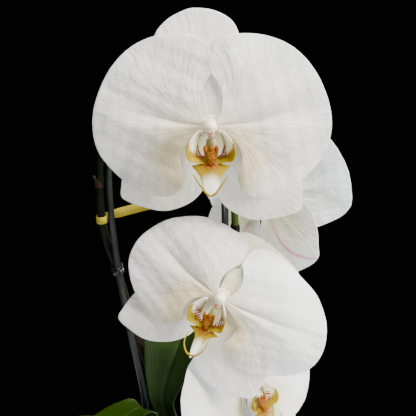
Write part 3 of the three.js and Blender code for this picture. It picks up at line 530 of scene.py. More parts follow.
def lip_material():
    # Waxy lip tissue: white or yellow by its place, glossier than the petals, with red-brown bars,
    # and a painted greenish shade where the side lobes curl in and at its foot under the column.
    values = {"Roughness": 0.5, "IOR": 1.45, "Specular IOR Level": 0.15}
    made, put = start_material("waxy_lip", values | scatter(0.45, 0.003, 0.9, 0.7))
    place = put("ShaderNodeTexCoord")["Object"]
    grain, specks = (
        put("ShaderNodeTexNoise", {"Vector": place, "Scale": spaced(size), "Detail": 2.0})["Fac"]
        for size in (1.1111, 0.66667)
    )
    specks = put("ShaderNodeValToRGB", {"Fac": specks}, [(0.45, WHITE), (0.6, BLACK)])["Color"]
    specks = put("ShaderNodeMath", {0: specks, 1: 0.8}, operation="ADD")[0]
    yellow = put("ShaderNodeAttribute", attribute_name="yellow")["Fac"]
    green = put("ShaderNodeAttribute", attribute_name="green")["Fac"]
    red = put("ShaderNodeAttribute", attribute_name="red")["Fac"]
    red = put("ShaderNodeMath", {0: red, 1: specks}, operation="MULTIPLY")[0]
    red = put("ShaderNodeClamp", {"Value": red})[0]
    layers = [("8c7700", yellow, 1.0), ("7b8038", green, 1.0), ("9a7a28", grain, 0.12)]
    layers.append(("74180c", red, 1.0))
    return end_material(made, layered(put, "ece4d2", layers), [(grain, 0.0002)])


def column_material():
    # Smooth waxy column: creamy above, flushed with pink under its hood, with a faint olive painted shade on
    # its foot.
    values = {"Roughness": 0.34, "IOR": 1.45} | scatter(0.3, 0.002, 0.9, 0.75)
    made, put = start_material("waxy_column", values)
    pattern = {"Vector": put("ShaderNodeTexCoord")["Object"], "Scale": spaced(1.4286), "Detail": 2.0}
    grain = put("ShaderNodeTexNoise", pattern)["Fac"]
    pink = put("ShaderNodeAttribute", attribute_name="pink")["Fac"]
    green = put("ShaderNodeAttribute", attribute_name="green")["Fac"]
    layers = [("c8734a", pink, 1.0), ("7d7a35", green, 1.0), ("b7a487", grain, 0.12)]
    return end_material(made, layered(put, "f4e8cc", layers), [(grain, 0.00012)])


def leaf_material():
    # Thick leathery leaf: dark waxed green, a paler groove along the midrib, lengthwise veins, a
    # pitted skin that breaks up the gloss, and a paler duller underside. The pits are drawn several
    # times too coarse, to show.
    made, put = start_material("leathery_leaf", {"IOR": 1.47, "Specular IOR Level": 0.16})
    where = put("ShaderNodeTexCoord")
    veins = drawn_out(put, where["UV"], (60.0, 2.5, 1.0))
    pattern = {"Vector": where["Object"], "Scale": spaced(22.222), "Detail": 4.0}
    patches = put("ShaderNodeTexNoise", pattern)["Fac"]
    pits = put("ShaderNodeTexVoronoi", {"Vector": where["Object"], "Scale": spaced(0.76923)})["Distance"]
    greens = [(0.3, "0c1a02"), (0.55, "172b03"), (0.75, "254006")]
    tone = put("ShaderNodeValToRGB", {"Fac": patches}, greens)["Color"]
    # The youngest leaf is paler: partly its own fresher green, partly painted light where the lamps reach it
    # too little.
    young = put("ShaderNodeAttribute", attribute_name="young")["Fac"]
    back = put("ShaderNodeAttribute", attribute_name="back")["Fac"]
    across = put("ShaderNodeSeparateXYZ", {"Vector": where["UV"]})["X"]
    aside = put("ShaderNodeMath", {0: across, 1: 0.5}, operation="SUBTRACT")[0]
    aside = put("ShaderNodeMath", {0: aside}, operation="ABSOLUTE")[0]
    groove = put("ShaderNodeValToRGB", {"Fac": aside}, [(0.0, WHITE), (0.035, BLACK)])["Color"]
    layers = [("1a2a07", veins, 0.28), ("5c8a10", young, 1.0), ("3a4a18", groove, 0.4)]
    layers.append(("33421a", back, 0.7))
    dull = put("ShaderNodeMapRange", {"Value": patches, "To Min": 0.46, "To Max": 0.6})["Result"]
    bumps = [(veins, 0.0005), (patches, 0.0006), (pits, 0.00006)]
    return end_material(made, layered(put, tone, layers), bumps, dull)


def stem_material():
    # Fleshy flower stem: dark olive green, paler towards the blooms, with fine lengthwise grain and
    # a soft wax gloss.
    values = {"Roughness": 0.52, "IOR": 1.45, "Specular IOR Level": 0.1}
    made, put = start_material("fleshy_stem", values)
    place = put("ShaderNodeTexCoord")["Object"]
    grain = drawn_out(put, place, (1.0, 1.0, 0.15), spaced(2.0))
    clouds = put("ShaderNodeTexNoise", {"Vector": place, "Scale": spaced(16.667), "Detail": 3.0})["Fac"]
    greens = [(0.3, "050701"), (0.5, "080a02"), (0.7, "0f1204")]
    tone = put("ShaderNodeValToRGB", {"Fac": clouds}, greens)["Color"]
    green = put("ShaderNodeAttribute", attribute_name="green")["Fac"]
    pale = put("ShaderNodeAttribute", attribute_name="pale")["Fac"]
    pink = put("ShaderNodeAttribute", attribute_name="pink")["Fac"]
    layers = [("46521c", green, 1.0), ("a8b47c", pale, 1.0), ("8a5547", pink, 1.0)]
    layers.append(("0c0f04", grain, 0.35))
    return end_material(made, layered(put, tone, layers), [(grain, 0.0002)])


def bud_material():
    # Unopened bud: pale green-white waxed skin, greener at its foot.
    values = {"Roughness": 0.38, "IOR": 1.45} | scatter(0.25, 0.003, 0.2, 0.1)
    made, put = start_material("waxed_bud", values)
    veins = drawn_out(put, put("ShaderNodeTexCoord")["UV"], (50.0, 3.0, 1.0))
    green = put("ShaderNodeAttribute", attribute_name="green")["Fac"]
    layers = [("8d9a5a", green, 1.0), ("a9aa86", veins, 0.25)]
    return end_material(made, layered(put, "d2d3bb", layers), [(veins, 0.0004)])


def root_material():
    # Spongy root skin: dry silver-grey with green where it is damp, matt and finely cracked.
    made, put = start_material("spongy_root", {"Roughness": 0.85, "IOR": 1.4})
    place = put("ShaderNodeTexCoord")["Object"]
    patches = put("ShaderNodeTexNoise", {"Vector": place, "Scale": spaced(8.3333), "Detail": 4.0})["Fac"]
    cracks = put("ShaderNodeTexVoronoi", {"Vector": place, "Scale": spaced(1.4286)})["Distance"]
    greys = [(0.35, "8b8d7c"), (0.55, "aaa996"), (0.7, "6f7c55")]
    tone = put("ShaderNodeValToRGB", {"Fac": patches}, greys)["Color"]
    green = put("ShaderNodeAttribute", attribute_name="green")["Fac"]
    layers = [("4b5a26", green, 1.0), ("66634f", cracks, 0.5)]
    return end_material(made, layered(put, tone, layers), [(patches, 0.0006), (cracks, 0.00025)])


def bark_material():
    # Broken fir bark: layered red-brown in patches of their own tone, dull and gritty.
    made, put = start_material("broken_bark", {"Roughness": 0.9, "IOR": 1.4})
    place = put("ShaderNodeTexCoord")["Object"]
    plies = drawn_out(put, place, (1.0, 0.3, 2.6), spaced(3.3333), 5.0)
    grit = put("ShaderNodeTexNoise", {"Vector": place, "Scale": spaced(0.66667), "Detail": 4.0})["Fac"]
    broad = put("ShaderNodeTexNoise", {"Vector": place, "Scale": spaced(16.667), "Detail": 1.0})["Fac"]
    browns = [(0.3, "2b1a10"), (0.5, "4c2e1b"), (0.7, "6a4527")]
    tone = put("ShaderNodeValToRGB", {"Fac": broad}, browns)["Color"]
    layers = [("1f130c", plies, 0.7), ("8d6a46", grit, 0.35)]
    return end_material(made, layered(put, tone, layers), [(plies, 0.002), (grit, 0.0004)])


def glaze_material():
    # White glazed earthenware: glossy, with a slow ripple in the glaze and the odd darker pinhole.
    values = {"Roughness": 0.16, "IOR": 1.52, "Coat Weight": 0.35, "Coat Roughness": 0.06}
    made, put = start_material("white_glaze", values)
    place = put("ShaderNodeTexCoord")["Object"]
    ripple = put("ShaderNodeTexNoise", {"Vector": place, "Scale": spaced(28.571), "Detail": 2.0})["Fac"]
    dots = put("ShaderNodeTexNoise", {"Vector": place, "Scale": spaced(1.1111), "Detail": 1.0})["Fac"]
    tone = put("ShaderNodeValToRGB", {"Fac": ripple}, [(0.3, "dddbd4"), (0.7, "eceae5")])["Color"]
    pinholes = put("ShaderNodeValToRGB", {"Fac": dots}, [(0.22, WHITE), (0.25, BLACK)])["Color"]
    return end_material(made, layered(put, tone, [("a39c8c", pinholes, 0.5)]), [(ripple, 0.0008)])


def plain_material(name, low, high, rough, clouds, grain, depth):
    """A moulded or coated finish between two close tones, with clouds and grain of given sizes."""
    made, put = start_material(name, {"Roughness": rough, "IOR": 1.49})
    place = put("ShaderNodeTexCoord")["Object"]
    broad = put("ShaderNodeTexNoise", {"Vector": place, "Scale": spaced(clouds), "Detail": 3.0})["Fac"]
    fine = put("ShaderNodeTexNoise", {"Vector": place, "Scale": spaced(grain), "Detail": 2.0})["Fac"]
    tone = put("ShaderNodeValToRGB", {"Fac": broad}, [(0.3, low), (0.7, high)])["Color"]
    return end_material(made, tone, [(fine, depth)])


# The third colour of each is the painted warm shade at the foot and beside the lip.
petal_white = tepal_material("satin_petal", "e6e7e7", "cdcfcc", "c3b27e", "e3e3e0", "d6d8c2")
sepal_white = tepal_material("satin_sepal", "e8e5d8", "cdcbbd", "c6bb8c", "e4e2d6", "b3b974")
lip_wax = lip_material()
column_wax = column_material()
leaf_skin = leaf_material()
stem_skin = stem_material()
bud_skin = bud_material()
root_skin = root_material()
bark_brown = bark_material()
glaze = glaze_material()
# Powder-coated wire: near-black green, low gloss that shows one thin line of light.
rod_coat = plain_material("coated_rod", "0e120f", "1a1f1b", 0.28, 11.111, 0.79365, 0.00008)
# Moulded dark plastic, slightly clouded by handling.
clip_plastic = plain_material("clip_plastic", "0e0c0a", "1a1713", 0.38, 5.0, 0.35714, 0.00006)
# Matt yellow label film with a faint fibre, nothing printed on it.
label_film = plain_material("label_film", "8e800b", "9c8e10", 0.62, 6.25, 0.44643, 0.00008)


# Pot, bark, crown and roots
POT_HEIGHT, POT_FOOT, POT_MOUTH, POT_WALL = 115, 45, 65, 4.5
POT_BAND_HEIGHT, POT_BAND_DEPTH, POT_FLOOR = 11, 2, 6
BARK_LEVEL, BARK_TOP, BARK_BOTTOM = 98, 109.7, 86
BARK_CLEAR = 0.5
AXIS = 0.3  # how near to its axis a turned profile starts and ends


def pot_outer(z):
    return POT_FOOT + (POT_MOUTH - POT_FOOT) / POT_HEIGHT * z


def pot_inner(z):
    return pot_outer(z) - POT_WALL


def filled(profile, step=3.0):
    """The profile with its long straight stretches cut into steps."""
    out = []
    for a, b in zip(profile, profile[1:]):
        parts = max(1, math.ceil(np.linalg.norm(b - a) / step))
        out += [a + (b - a) * k / parts for k in range(parts)]
    return np.array(out + [profile[-1]])


def make_pot():
    band, top, floor = POT_HEIGHT - POT_BAND_HEIGHT, POT_HEIGHT, POT_FLOOR
    profile = [(AXIS, 1.2), (37.5, 1.2), (39, 0), (43.4, 0), (pot_outer(2), 2)]
    profile += [(pot_outer(band), band), (pot_outer(band) + POT_BAND_DEPTH, band + 1.5)]
    profile += [(pot_outer(top) + POT_BAND_DEPTH, top - 1.5), (pot_outer(top) + 0.8, top)]
    profile += [(pot_inner(top) + 0.8, top), (pot_inner(top), top - 1), (pot_inner(floor + 3), floor + 3)]
    profile += [(pot_inner(floor) - 3, floor), (AXIS, floor)]
    shape = turned(filled(rounded(profile, 1.3)), 144)
    show("pot", shape, glaze)


def pressed(points):
    """Keeps bark inside the pot's wall and below its highest level."""
    reach = np.hypot(points[:, 0], points[:, 1])
    limit = pot_inner(points[:, 2]) - BARK_CLEAR
    points[:, :2] *= np.minimum(1, limit / np.maximum(reach, 1e-9))[:, None]
    points[:, 2] = np.minimum(points[:, 2], BARK_TOP)
    return points


def make_bark():
    bed_line = bpy.data.meshes.new("bark_bed")
    values = {"Reach": 0.052, "Spacing": 0.0085, "Chip": (0.02, 0.0135, 0.0085), "Rough": 0.0035}
    values |= {"Level": (0.0, 0.0, (BARK_LEVEL + 2) * MM), "Seed": 7, "Material": bark_brown}
    chips = shape_of(grown("bark_chips_grown", bed_line, bark_tree(), values))
    low, top = BARK_BOTTOM, BARK_LEVEL - 1
    bed = [(AXIS, low), (pot_inner(low) - BARK_CLEAR, low), (pot_inner(BARK_LEVEL) - BARK_CLEAR, top)]
    bed = turned(filled(np.array(bed + [(AXIS, top)], float)), 72)
    shape = together([bed, chips.moved(pressed)])
    show("bark_chips", shape, bark_brown, soft=False)


CROWN_X, CROWN_RADIUS, CROWN_BOTTOM, CROWN_TOP = -2, 7.4, 86, 129
CROWN_CLEAR = 8.7
# Each root is a compass angle, a radius, and points as distance from the crown, height and turn.
ROOTS = [
    (-95, 2.5, [(3, 95, 0), (9, 99, 0), (16, 105, 2), (28, 109, 8), (41, 104, 14), (47, 82, 20)]),
    (-38, 2.3, [(3, 94, 0), (9, 99, 0), (17, 105, -4), (27, 107, -10), (36, 99, -14), (39, 84, -16)]),
    (40, 2.4, [(3, 95, 0), (9, 100, 0), (19, 107, 5), (31, 109, 9), (43, 102, 15), (47, 86, 18)]),
    (112, 2.2, [(3, 93, 0), (9, 98, 0), (17, 104, -3), (28, 106, -8), (37, 99, -12), (39, 84, -14)]),
    (-128, 2.6, [
        (3, 96, 0), (9, 102, 0), (20, 109, 2), (40, 116, 6),
        (58, 121.5, 9), (70, 117, 12), (76, 98, 14), (78, 76, 13),
    ]),
]


def root_strand(angle, radius, route):
    points = []
    for distance, height, turn in route:
        a = math.radians(angle + turn)
        points.append((CROWN_X + distance * math.cos(a), distance * math.sin(a), height))
    u = np.linspace(0, 1, 90)
    swelling = 1 + 0.05 * np.sin(31 * u + angle) + 0.03 * np.sin(71 * u)
    return Route(points).at(u), radius * (1 - 0.38 * smooth((u - 0.85) / 0.15)) * swelling


def make_crown():
    r, low, top = CROWN_RADIUS, CROWN_BOTTOM, CROWN_TOP
    profile = [(AXIS, low), (0.7 * r, low), (r, low + 10), (r, top - 14), (0.72 * r, top - 4)]
    profile = filled(rounded(profile + [(0.45 * r, top), (AXIS, top)], 3.0), 1.0)
    ridges = 0.14 * np.sin(profile[:, 1] * 1.9)
    profile[:, 0] = np.maximum(profile[:, 0] + np.where(profile[:, 0] > 4, ridges, 0), AXIS)
    crown = turned(profile, 48, green=lambda v, u: 0.8)
    crown = crown.moved(lambda p: p + [CROWN_X, 0, 0])
    roots = stems("roots_grown", [root_strand(*root) for root in ROOTS], root_skin, 22, 0.5)
    roots.fields["green"] = 0.55 * smooth((0.2 - roots.fields["along"]) / 0.2)
    shape = together([crown, roots])
    show("crown_and_roots", shape, root_skin)


# Leaves: name, compass angle, foot's height, half-width, neck, channel and the midrib's points.
LEAVES = [
    ("leaf_1", -75, 104.5, 27, 0.2, 1, [
        (3, -19, 118), (10, -38, 124), (22, -70, 119), (33, -99, 101), (41, -118, 77),
    ]),
    ("leaf_2", 168, 105, 28, 0.2, 0.5, [
        (-19, 4.3, 115.5), (-38.5, 13, 119), (-60, 25, 117.8), (-84, 40, 106), (-102, 51, 86),
    ]),
    ("leaf_3", 12, 113.5, 30, 0.2, 1, [
        (13, 4, 126), (34, 9, 129), (64, 13, 120), (94, 15, 103), (116, 15, 82),
    ]),
    ("leaf_4", 205, 116, 27, 0.44, 0.5, [
        (-11.2, -4.2, 134), (-14.5, -6, 140.8), (-21, -9, 138.5), (-33, -13, 130.5),
        (-49, -20.5, 123.2), (-66, -28, 116.8), (-81, -36, 105), (-91, -42, 91),
    ]),
    ("leaf_5", 66, 123, 25, 0.2, 1, [
        (-2.5, 9.5, 141), (-1, 12, 153), (5.5, 17.5, 171), (13, 29, 190), (18, 45, 208), (22, 62, 222),
    ]),
]
LEAF_TIP = 0.9905


def leaf_width(s, neck):
    foot = neck + (1 - neck) * smooth((s - 0.05) / 0.52)
    return foot * np.sqrt(np.maximum(0, 1 - np.maximum(0, (s - 0.62) / 0.371) ** 2.4))


def leaf_surface(compass, foot, half_width, neck, depth, midrib):
    angle = math.radians(compass)
    out = np.array([math.cos(angle), math.sin(angle), 0])
    sideways = np.array([-out[1], out[0], 0])
    feet = [(CROWN_CLEAR, foot), (CROWN_CLEAR + 0.7, foot + 6)]
    route = Route([[CROWN_X + r * out[0], r * out[1], z] for r, z in feet] + midrib, 300)

    def point(s, t):
        u = np.clip(s, 0, 1)
        along = route.way(u)
        up = unit(np.cross(along, sideways))
        across = np.cross(up, along)
        half = half_width * leaf_width(u, neck) * t
        clasp = hump(u, 0, 0.07)
        channel = depth * (0.3 - 0.22 * smooth(u / 0.8)) * np.abs(half) * np.sqrt(np.abs(t))
        channel += 0.55 * t**2 * np.sin(8 * u + foot + 2 * np.sign(t)) * smooth((u - 0.25) / 0.3)
        channel -= 0.7 * hump(half, 0, 1.5)
        side = (1 - clasp) * half + clasp * CROWN_CLEAR * np.sin(half / CROWN_CLEAR)
        lift = (1 - clasp) * channel + clasp * CROWN_CLEAR * (1 - np.cos(half / CROWN_CLEAR))
        beyond = along * (route.length * (s - u))[..., None]
        return route.at(u) + beyond + across * side[..., None] + up * lift[..., None]

    return point


def leaf_thickness(s, t):
    return 1.2 + 0.8 * hump(t, 0, 0.5)


def make_leaves():
    blunt = 0.62 + (LEAF_TIP - 0.62) * np.sin(np.linspace(0, math.pi / 2, 26))
    rows = np.concatenate([np.linspace(0, 0.6, 46), blunt])
    for name, *measures in LEAVES:
        # A share of paler green on the lowest leaf, partly its fresher tone and partly painted light.
        young = 0.12 if name == "leaf_4" else 0.0
        surface = leaf_surface(*measures)
        shape = blade(surface, rows, 44, leaf_thickness, young=lambda s, t: young + 0 * s)
        show(name, shape, leaf_skin)


# Spike, rod, clips and label
SPIKE = Route([
    (-4.7, 7.4, 117), (-5.8, 10.6, 118.5), (-6.8, 15.5, 124), (-7.4, 21, 133), (-8.8, 26.5, 148),
    (-14.4, 28.5, 163), (-18.3, 26.5, 175), (-22.4, 21.5, 191), (-25.9, 16, 206), (-29.4, 11.3, 219.5),
    (-33.6, 4.5, 233), (-36.2, -0.5, 247.5), (-36.8, -4.5, 260), (-36.2, -9, 280), (-33.9, -14, 301),
    (-22.8, -25.4, 326), (0.2, -40, 342), (21.6, -53, 335), (33.4, -61, 316.6), (36, -65, 290.6),
    (35.9, -66, 262.9), (37.2, -62, 236), (40.5, -51, 205), (44, -41, 176), (49, -36, 154),
    (57, -35, 138), (66, -37, 127),
], 120)
ROD = Route([
    (-13, 18, 30), (-13, 18, 100), (-12.8, 16.5, 122), (-13.4, 11.3, 141), (-20.4, 7, 178),
    (-27.2, 5, 214), (-29.7, 2, 234.8), (-30.8, -1, 247.5), (-31.7, -6, 273), (-28.4, -13, 299),
    (-15.5, -26, 322), (2.8, -39, 332), (19.2, -50, 325), (27.6, -58, 306), (30.4, -63, 284),
    (31, -65, 262.6), (31.4, -65, 242),
], 120)
SPIKE_TOP, ROD_TOP = 0.53, 0.66
SPIKE_RADIUS, SPIKE_TIP_RADIUS, ROD_RADIUS = 2.1, 1.3, 1.8


def spike_up(height):
    return SPIKE.share_at_height(height, 0, SPIKE_TOP)


def spike_down(height):
    return SPIKE.share_at_height(height, SPIKE_TOP, 1)


def spike_radius(u):
    return SPIKE_RADIUS + (SPIKE_TIP_RADIUS - SPIKE_RADIUS) * smooth((u - 0.55) / 0.45)


def make_rod():
    u = np.linspace(0, 1, 260)
    radius = np.full(len(u), ROD_RADIUS)
    radius[[0, -1]] *= 0.75
    shape = stems("rod_grown", [(ROD.at(u), radius)], rod_coat, 24)
    show("support_rod", shape, rod_coat)


def make_clip(node, rod_share, spike_share):
    """A collar round rod and spike with two flared ears to squeeze."""
    wall, height = 1.1, 2.8
    on_rod, on_spike = ROD.at(rod_share), SPIKE.at(spike_share)
    along = unit(ROD.way(rod_share) + SPIKE.way(spike_share))
    between = on_spike - on_rod
    half = np.linalg.norm(between) / 2
    across = unit(between - along * (between @ along))
    side = np.cross(along, across)
    ends = [(-half, ROD_RADIUS, 90), (half, SPIKE_RADIUS, -90)]
    path = []
    for centre, radius, start in ends:
        for a in np.radians(np.linspace(start, start + 180, 25)):
            r = radius + GAP + wall / 2
            path.append((centre + r * math.cos(a), r * math.sin(a)))
    path = filled(np.array(path + path[:1]), 0.6)[:-1]
    collar = belt(path, True, wall, height)
    waist = np.linspace(-1, 1, 9)
    pinch = np.stack([0.0 * waist, waist * (ROD_RADIUS + GAP + wall * 0.6)], -1)
    web = belt(pinch, False, max(0.7, 2 * half - ROD_RADIUS - SPIKE_RADIUS - 2 * GAP), height * 0.9)
    ears = []
    for end, radius in ((-1, ROD_RADIUS), (1, SPIKE_RADIUS)):
        reach = half + radius + GAP + wall - 0.3
        u = np.linspace(0, 1, 12)
        line = stacked(end * (reach + 0.62 * (u - 0.5) * 2), 0 * u, height / 2 + 2.6 * (u - 0.5))
        ears.append((line, 1.2 - 0.45 * u))
    ears = stems(node + "_ears", ears, clip_plastic, 12)
    basis = np.array([across, side, along])
    shape = together([collar, web, ears]).moved(lambda p: p @ basis + (on_rod + on_spike) / 2)
    show(node, shape, clip_plastic)


LABEL_HEIGHT = 247


def make_label():
    """A blank loop label: a ring round the spike and a straight tail that climbs behind the rod."""
    length, back, height, thick, climb = 47, 11, 5.6, 0.8, 0.1
    middle = SPIKE_RADIUS + GAP + thick / 2
    tail = np.linspace([length, back - thick / 2], [0, middle], 60)
    turns = np.radians(90 + np.linspace(4, 316, 60))
    path = np.vstack([tail, np.stack([np.cos(turns), np.sin(turns)], -1) * middle])
    shape = belt(path, False, thick * 0.8, height)
    share = spike_up(LABEL_HEIGHT)
    along = SPIKE.way(share)
    behind = unit(np.cross(along, SIDE_AXIS))
    basis = np.array([np.cross(behind, along), behind, along])

    def placed(p):
        low = p * stacked(1, 1, 0.74 + 0.26 * smooth((p[:, 0] - 3) / 7))
        low[:, 2] += climb * np.maximum(0, p[:, 0] - 3.25)
        return low @ basis + SPIKE.at(share)

    show("tag_loop", shape.moved(placed), label_film)


# Blooms, in their own frame: x to the viewer's right, y towards the upper sepal, z out of the face
PETAL_OUTLINE = [
    (0.3, 24.5), (0.3, 34), (3.4, 40.5), (12, 43.6), (25, 43), (38, 37.5), (48, 27), (54.5, 13),
    (56.5, 0), (54, -12), (46, -22.5), (35, -30.5), (24, -33.5), (15.5, -31), (12.6, -24),
]
UPPER_HALF = [
    (5.6, 6), (9.5, 12.5), (13.8, 20), (18.4, 28), (21.6, 37), (19.6, 46.5), (12, 52.8), (3, 55.6),
]
UPPER_OUTLINE = UPPER_HALF + [(-x, y) for x, y in reversed(UPPER_HALF)]
LATERAL_OUTLINE = [
    (4.3, 6), (12, 11.3), (20, 18.5), (23.4, 26.5), (23.2, 35), (19.5, 44), (12, 51), (1.5, 57),
    (-4.5, 53), (-10.5, 46.5), (-15.5, 38.5), (-17, 30), (-15.5, 21), (-10.5, 13), (-4, 6),
]
PETAL_REACH = 56


def outline_at(outline):
    """The smooth outline, read by t from 1 at its first point to -1 at its last."""
    p = np.array(outline, float)
    p = np.vstack([p[:1], p, p[-1:]])

    def edge(t):
        place = np.clip((1 - t) / 2, 0, 1) * (len(p) - 3)
        k = np.minimum(place.astype(int), len(p) - 4)
        w = (place - k)[..., None]
        a, b, c, d = (p[k + n] for n in range(4))
        leave, reach = (c - a) / 2, (d - b) / 2
        bend = (3 * (c - b) - 2 * leave - reach) * w**2
        return b + leave * w + bend + (2 * (b - c) + leave + reach) * w**3

    return edge


def fan(outline, foot, foot_half, heading, bend_up, bend_down):
    """Rays that leave a foot side by side and bend out to the outline."""
    edge = outline_at(outline)
    foot, heading = np.array(foot, float), np.array(heading, float)
    side = np.array([-heading[1], heading[0]])

    def flat(s, t):
        start = foot + side * (foot_half * t)[..., None]
        end = edge(t)
        reach = end - start
        swing = np.arctan2(heading[0] * reach[..., 1] - heading[1] * reach[..., 0], reach @ heading)
        lean = swing * ((bend_up + bend_down) / 2 + (bend_up - bend_down) / 2 * t)
        length = 0.5 * np.linalg.norm(reach, axis=-1) / np.cos(swing - lean)
        c, d = np.cos(lean), np.sin(lean)
        way = np.stack([heading[0] * c - heading[1] * d, heading[0] * d + heading[1] * c], -1)
        bend = start + way * length[..., None]
        s = s[..., None]
        return (1 - s) ** 2 * start + 2 * s * (1 - s) * bend + s**2 * end

    return flat


PETAL_FLAT = fan(PETAL_OUTLINE, (2.9, 0.6), 2.2, (1, 0), 0.65, 0.3)
UPPER_FLAT = fan(UPPER_OUTLINE[::-1], (0, 2.9), 4.2, (0, 1), 0.5, 0.5)
LATERAL_FLAT = fan(LATERAL_OUTLINE[::-1], (0, 2.9), 3.1, (0, 1), 0.5, 0.5)


def swell(x, y, wave):
    """Soft broad undulations of living tissue, a few tenths of a millimetre high."""
    broad = np.sin(0.21 * x + 0.13 * y + 2 * wave) + np.sin(0.27 * y - 0.11 * x + 3 * wave)
    small = np.sin(0.55 * x - 0.31 * y + wave) * np.sin(0.49 * y + 0.2 * x + 5 * wave)
    return 0.34 * broad + 0.2 * small


def ribs(s, t, wave):
    """Veins that run out from the foot, each a slight ridge that fades at the margin."""
    lines = np.sin(26 * t + 0.8 * np.sin(5 * s + wave)) + 0.6 * np.sin(47 * t + 2 * s + wave)
    return 0.04 * lines * window(s, 0, 0.25, 1.05, 0.3)


def petal_rise(x, y, s, t, wave):
    r = np.hypot(x, y) / PETAL_REACH
    arch = 0.3 + (7.4 * r - 9.4 * r**2) * smooth(x / 14)
    crease = -1.7 * hump(t, 0, 0.1) * np.sin(math.pi * np.minimum(1, s * 1.05))
    line = t + 0.015 * np.sin(11 * s + wave)
    crease = crease - 0.42 * hump(line, 0, 0.03) * window(s, 0.08, 0.15, 0.9, 0.4)
    lobe = 2.2 * np.exp(-((x - 16) ** 2 + (y + 25) ** 2) / 110)
    margin = 0.9 * np.sin(7 * t + wave) * s**4
    return arch + crease + lobe + margin + smooth(s / 0.3) * swell(x, y, wave) + ribs(s, t, wave)


def sepal_rise(x, y, s, t, wave):
    r = np.hypot(x, y) / PETAL_REACH
    keel = -1.5 * np.abs(t) * s - 0.35 * hump(t, 0, 0.07) * np.sin(math.pi * np.clip(s, 0, 1))
    margin = 0.6 * np.sin(6 * t + wave) * s**4
    low = -1.6 - 1.6 * r - 1.4 * r**2
    return low + keel + margin + 0.7 * smooth(s / 0.3) * swell(x, y, wave) + ribs(s, t, wave)


def tepal_point(flat, rise, wave, curl, wide=1.0, belly=1.0, stretch=1.0, below=None,
                turn=0.0, cup=0.0, fold=0.0):
    """The surface of a petal or sepal, as it lies in its bloom.

    `belly` widens its right half, `stretch` and `below` lengthen it above and below the bloom's middle,
    `turn` turns it, `cup` brings its far end forward, `fold` lets its lower half fall back, and `curl`
    is the curvature that bends the upper part of the bloom back.
    """
    below = stretch if below is None else below
    c, d = math.cos(math.radians(-turn)), math.sin(math.radians(-turn))

    def point(s, t):
        p = flat(s, t)
        x, y = p[..., 0], p[..., 1]
        z = rise(x, y, np.maximum(0, s), t, wave) + cup * (x**2 + y**2) / PETAL_REACH**2
        z = z - fold * smooth(-1.6 * t) * smooth(1.4 * s)
        x, y = x * wide * np.where(x > 0, belly, 1), y * np.where(y > 0, stretch, below)
        x, y = x * c - y * d, x * d + y * c
        bend = np.maximum(y, 0) * curl
        over = np.minimum(y, 0) + np.sin(bend) * (1 / curl + z)
        return stacked(x, over, (np.cos(bend) - 1) / curl + z * np.cos(bend))

    return point


def tepal_thickness(s, t):
    return 0.3 + 0.5 * smooth((1.02 - s) / 0.25) * smooth((1.04 - np.abs(t)) / 0.12 + 0.3)


def petal_painted_shade(s, t):
    """Painted warm shade on a petal's lower inner lobe, beside the lip that shades it."""
    p = PETAL_FLAT(s, t)
    return 1.3 * np.exp(-((p[..., 0] - 9) ** 2 + (p[..., 1] + 15) ** 2) / 17**2)


# Painted warm shade at the upper sepal's foot, behind the column.
def upper_painted_shade(s, t):
    return 0.6 * smooth((0.3 - s) / 0.3)


# Painted warm shade on a side sepal's inner half, behind the lip.
def lateral_painted_shade(s, t):
    return smooth((0.62 - s) / 0.5)


def with_more_cream_and_shade(cream, extra):
    """Painted warm shade with the same amount more all over it, partly the bloom's creamier tone and partly
    painted shade.
    """
    return lambda s, t: np.clip(cream(s, t) + extra, 0, 1)


def from_keel(s, t, swing):
    """How far a place on a sepal's back lies from the pink line that runs down it."""
    return (t / 2 + swing * (1 - s)) * (1 + 3.5 * s)


# How many faces a petal and a sepal have along and across.
PETAL_GRID, SEPAL_GRID = (68, 112), (56, 60)


def tepal(flat, rise, grid, cream, keel, **place):
    surface = tepal_point(flat, rise, **place)
    rows = np.linspace(0, 1, grid[0] + 1)
    return blade(surface, rows, grid[1], tepal_thickness, cream=cream, from_keel=keel)


def mirrored(shape):
    return shape.moved(lambda p: p * [-1, 1, 1])


def loft(route, radius, sides, count, dent=None, **fields):
    """A round form along a curve in the middle plane, with a share of its radius taken off below."""
    u = np.linspace(0, 1, count)
    way = route.way(u)
    up = unit(np.cross(way, SIDE_AXIS))
    c, d = circle(sides)
    rings = []
    for k, share in enumerate(u):
        r = radius(share) * (1 - (dent(share, d) if dent else 0 * d))
        ring = route.at(share) + np.outer(r * c, SIDE_AXIS) + np.outer(r * d, up[k])
        rings.append(ring)
    return skin(rings, **fields)


HOOD = Route([(0, 1, -1.3), (0, 2.2, 2.5), (0, 1.8, 6.5), (0, 0.2, 9.6), (0, -1.4, 10.8)])
COLUMN_FOOT = Route([(0, 0.6, 0.4), (0, -1.8, 1.8), (0, -4.4, 3.75)])


def hood_radius(u):
    return 2.35 + 0.75 * smooth((u - 0.35) / 0.5) - 1.6 * smooth((u - 0.86) / 0.14)


def scoop(u, d):
    """The hollow under the hood, deepest near its mouth."""
    return 0.5 * hump(u, 0.8, 0.14) * hump(d, -1, 0.5)


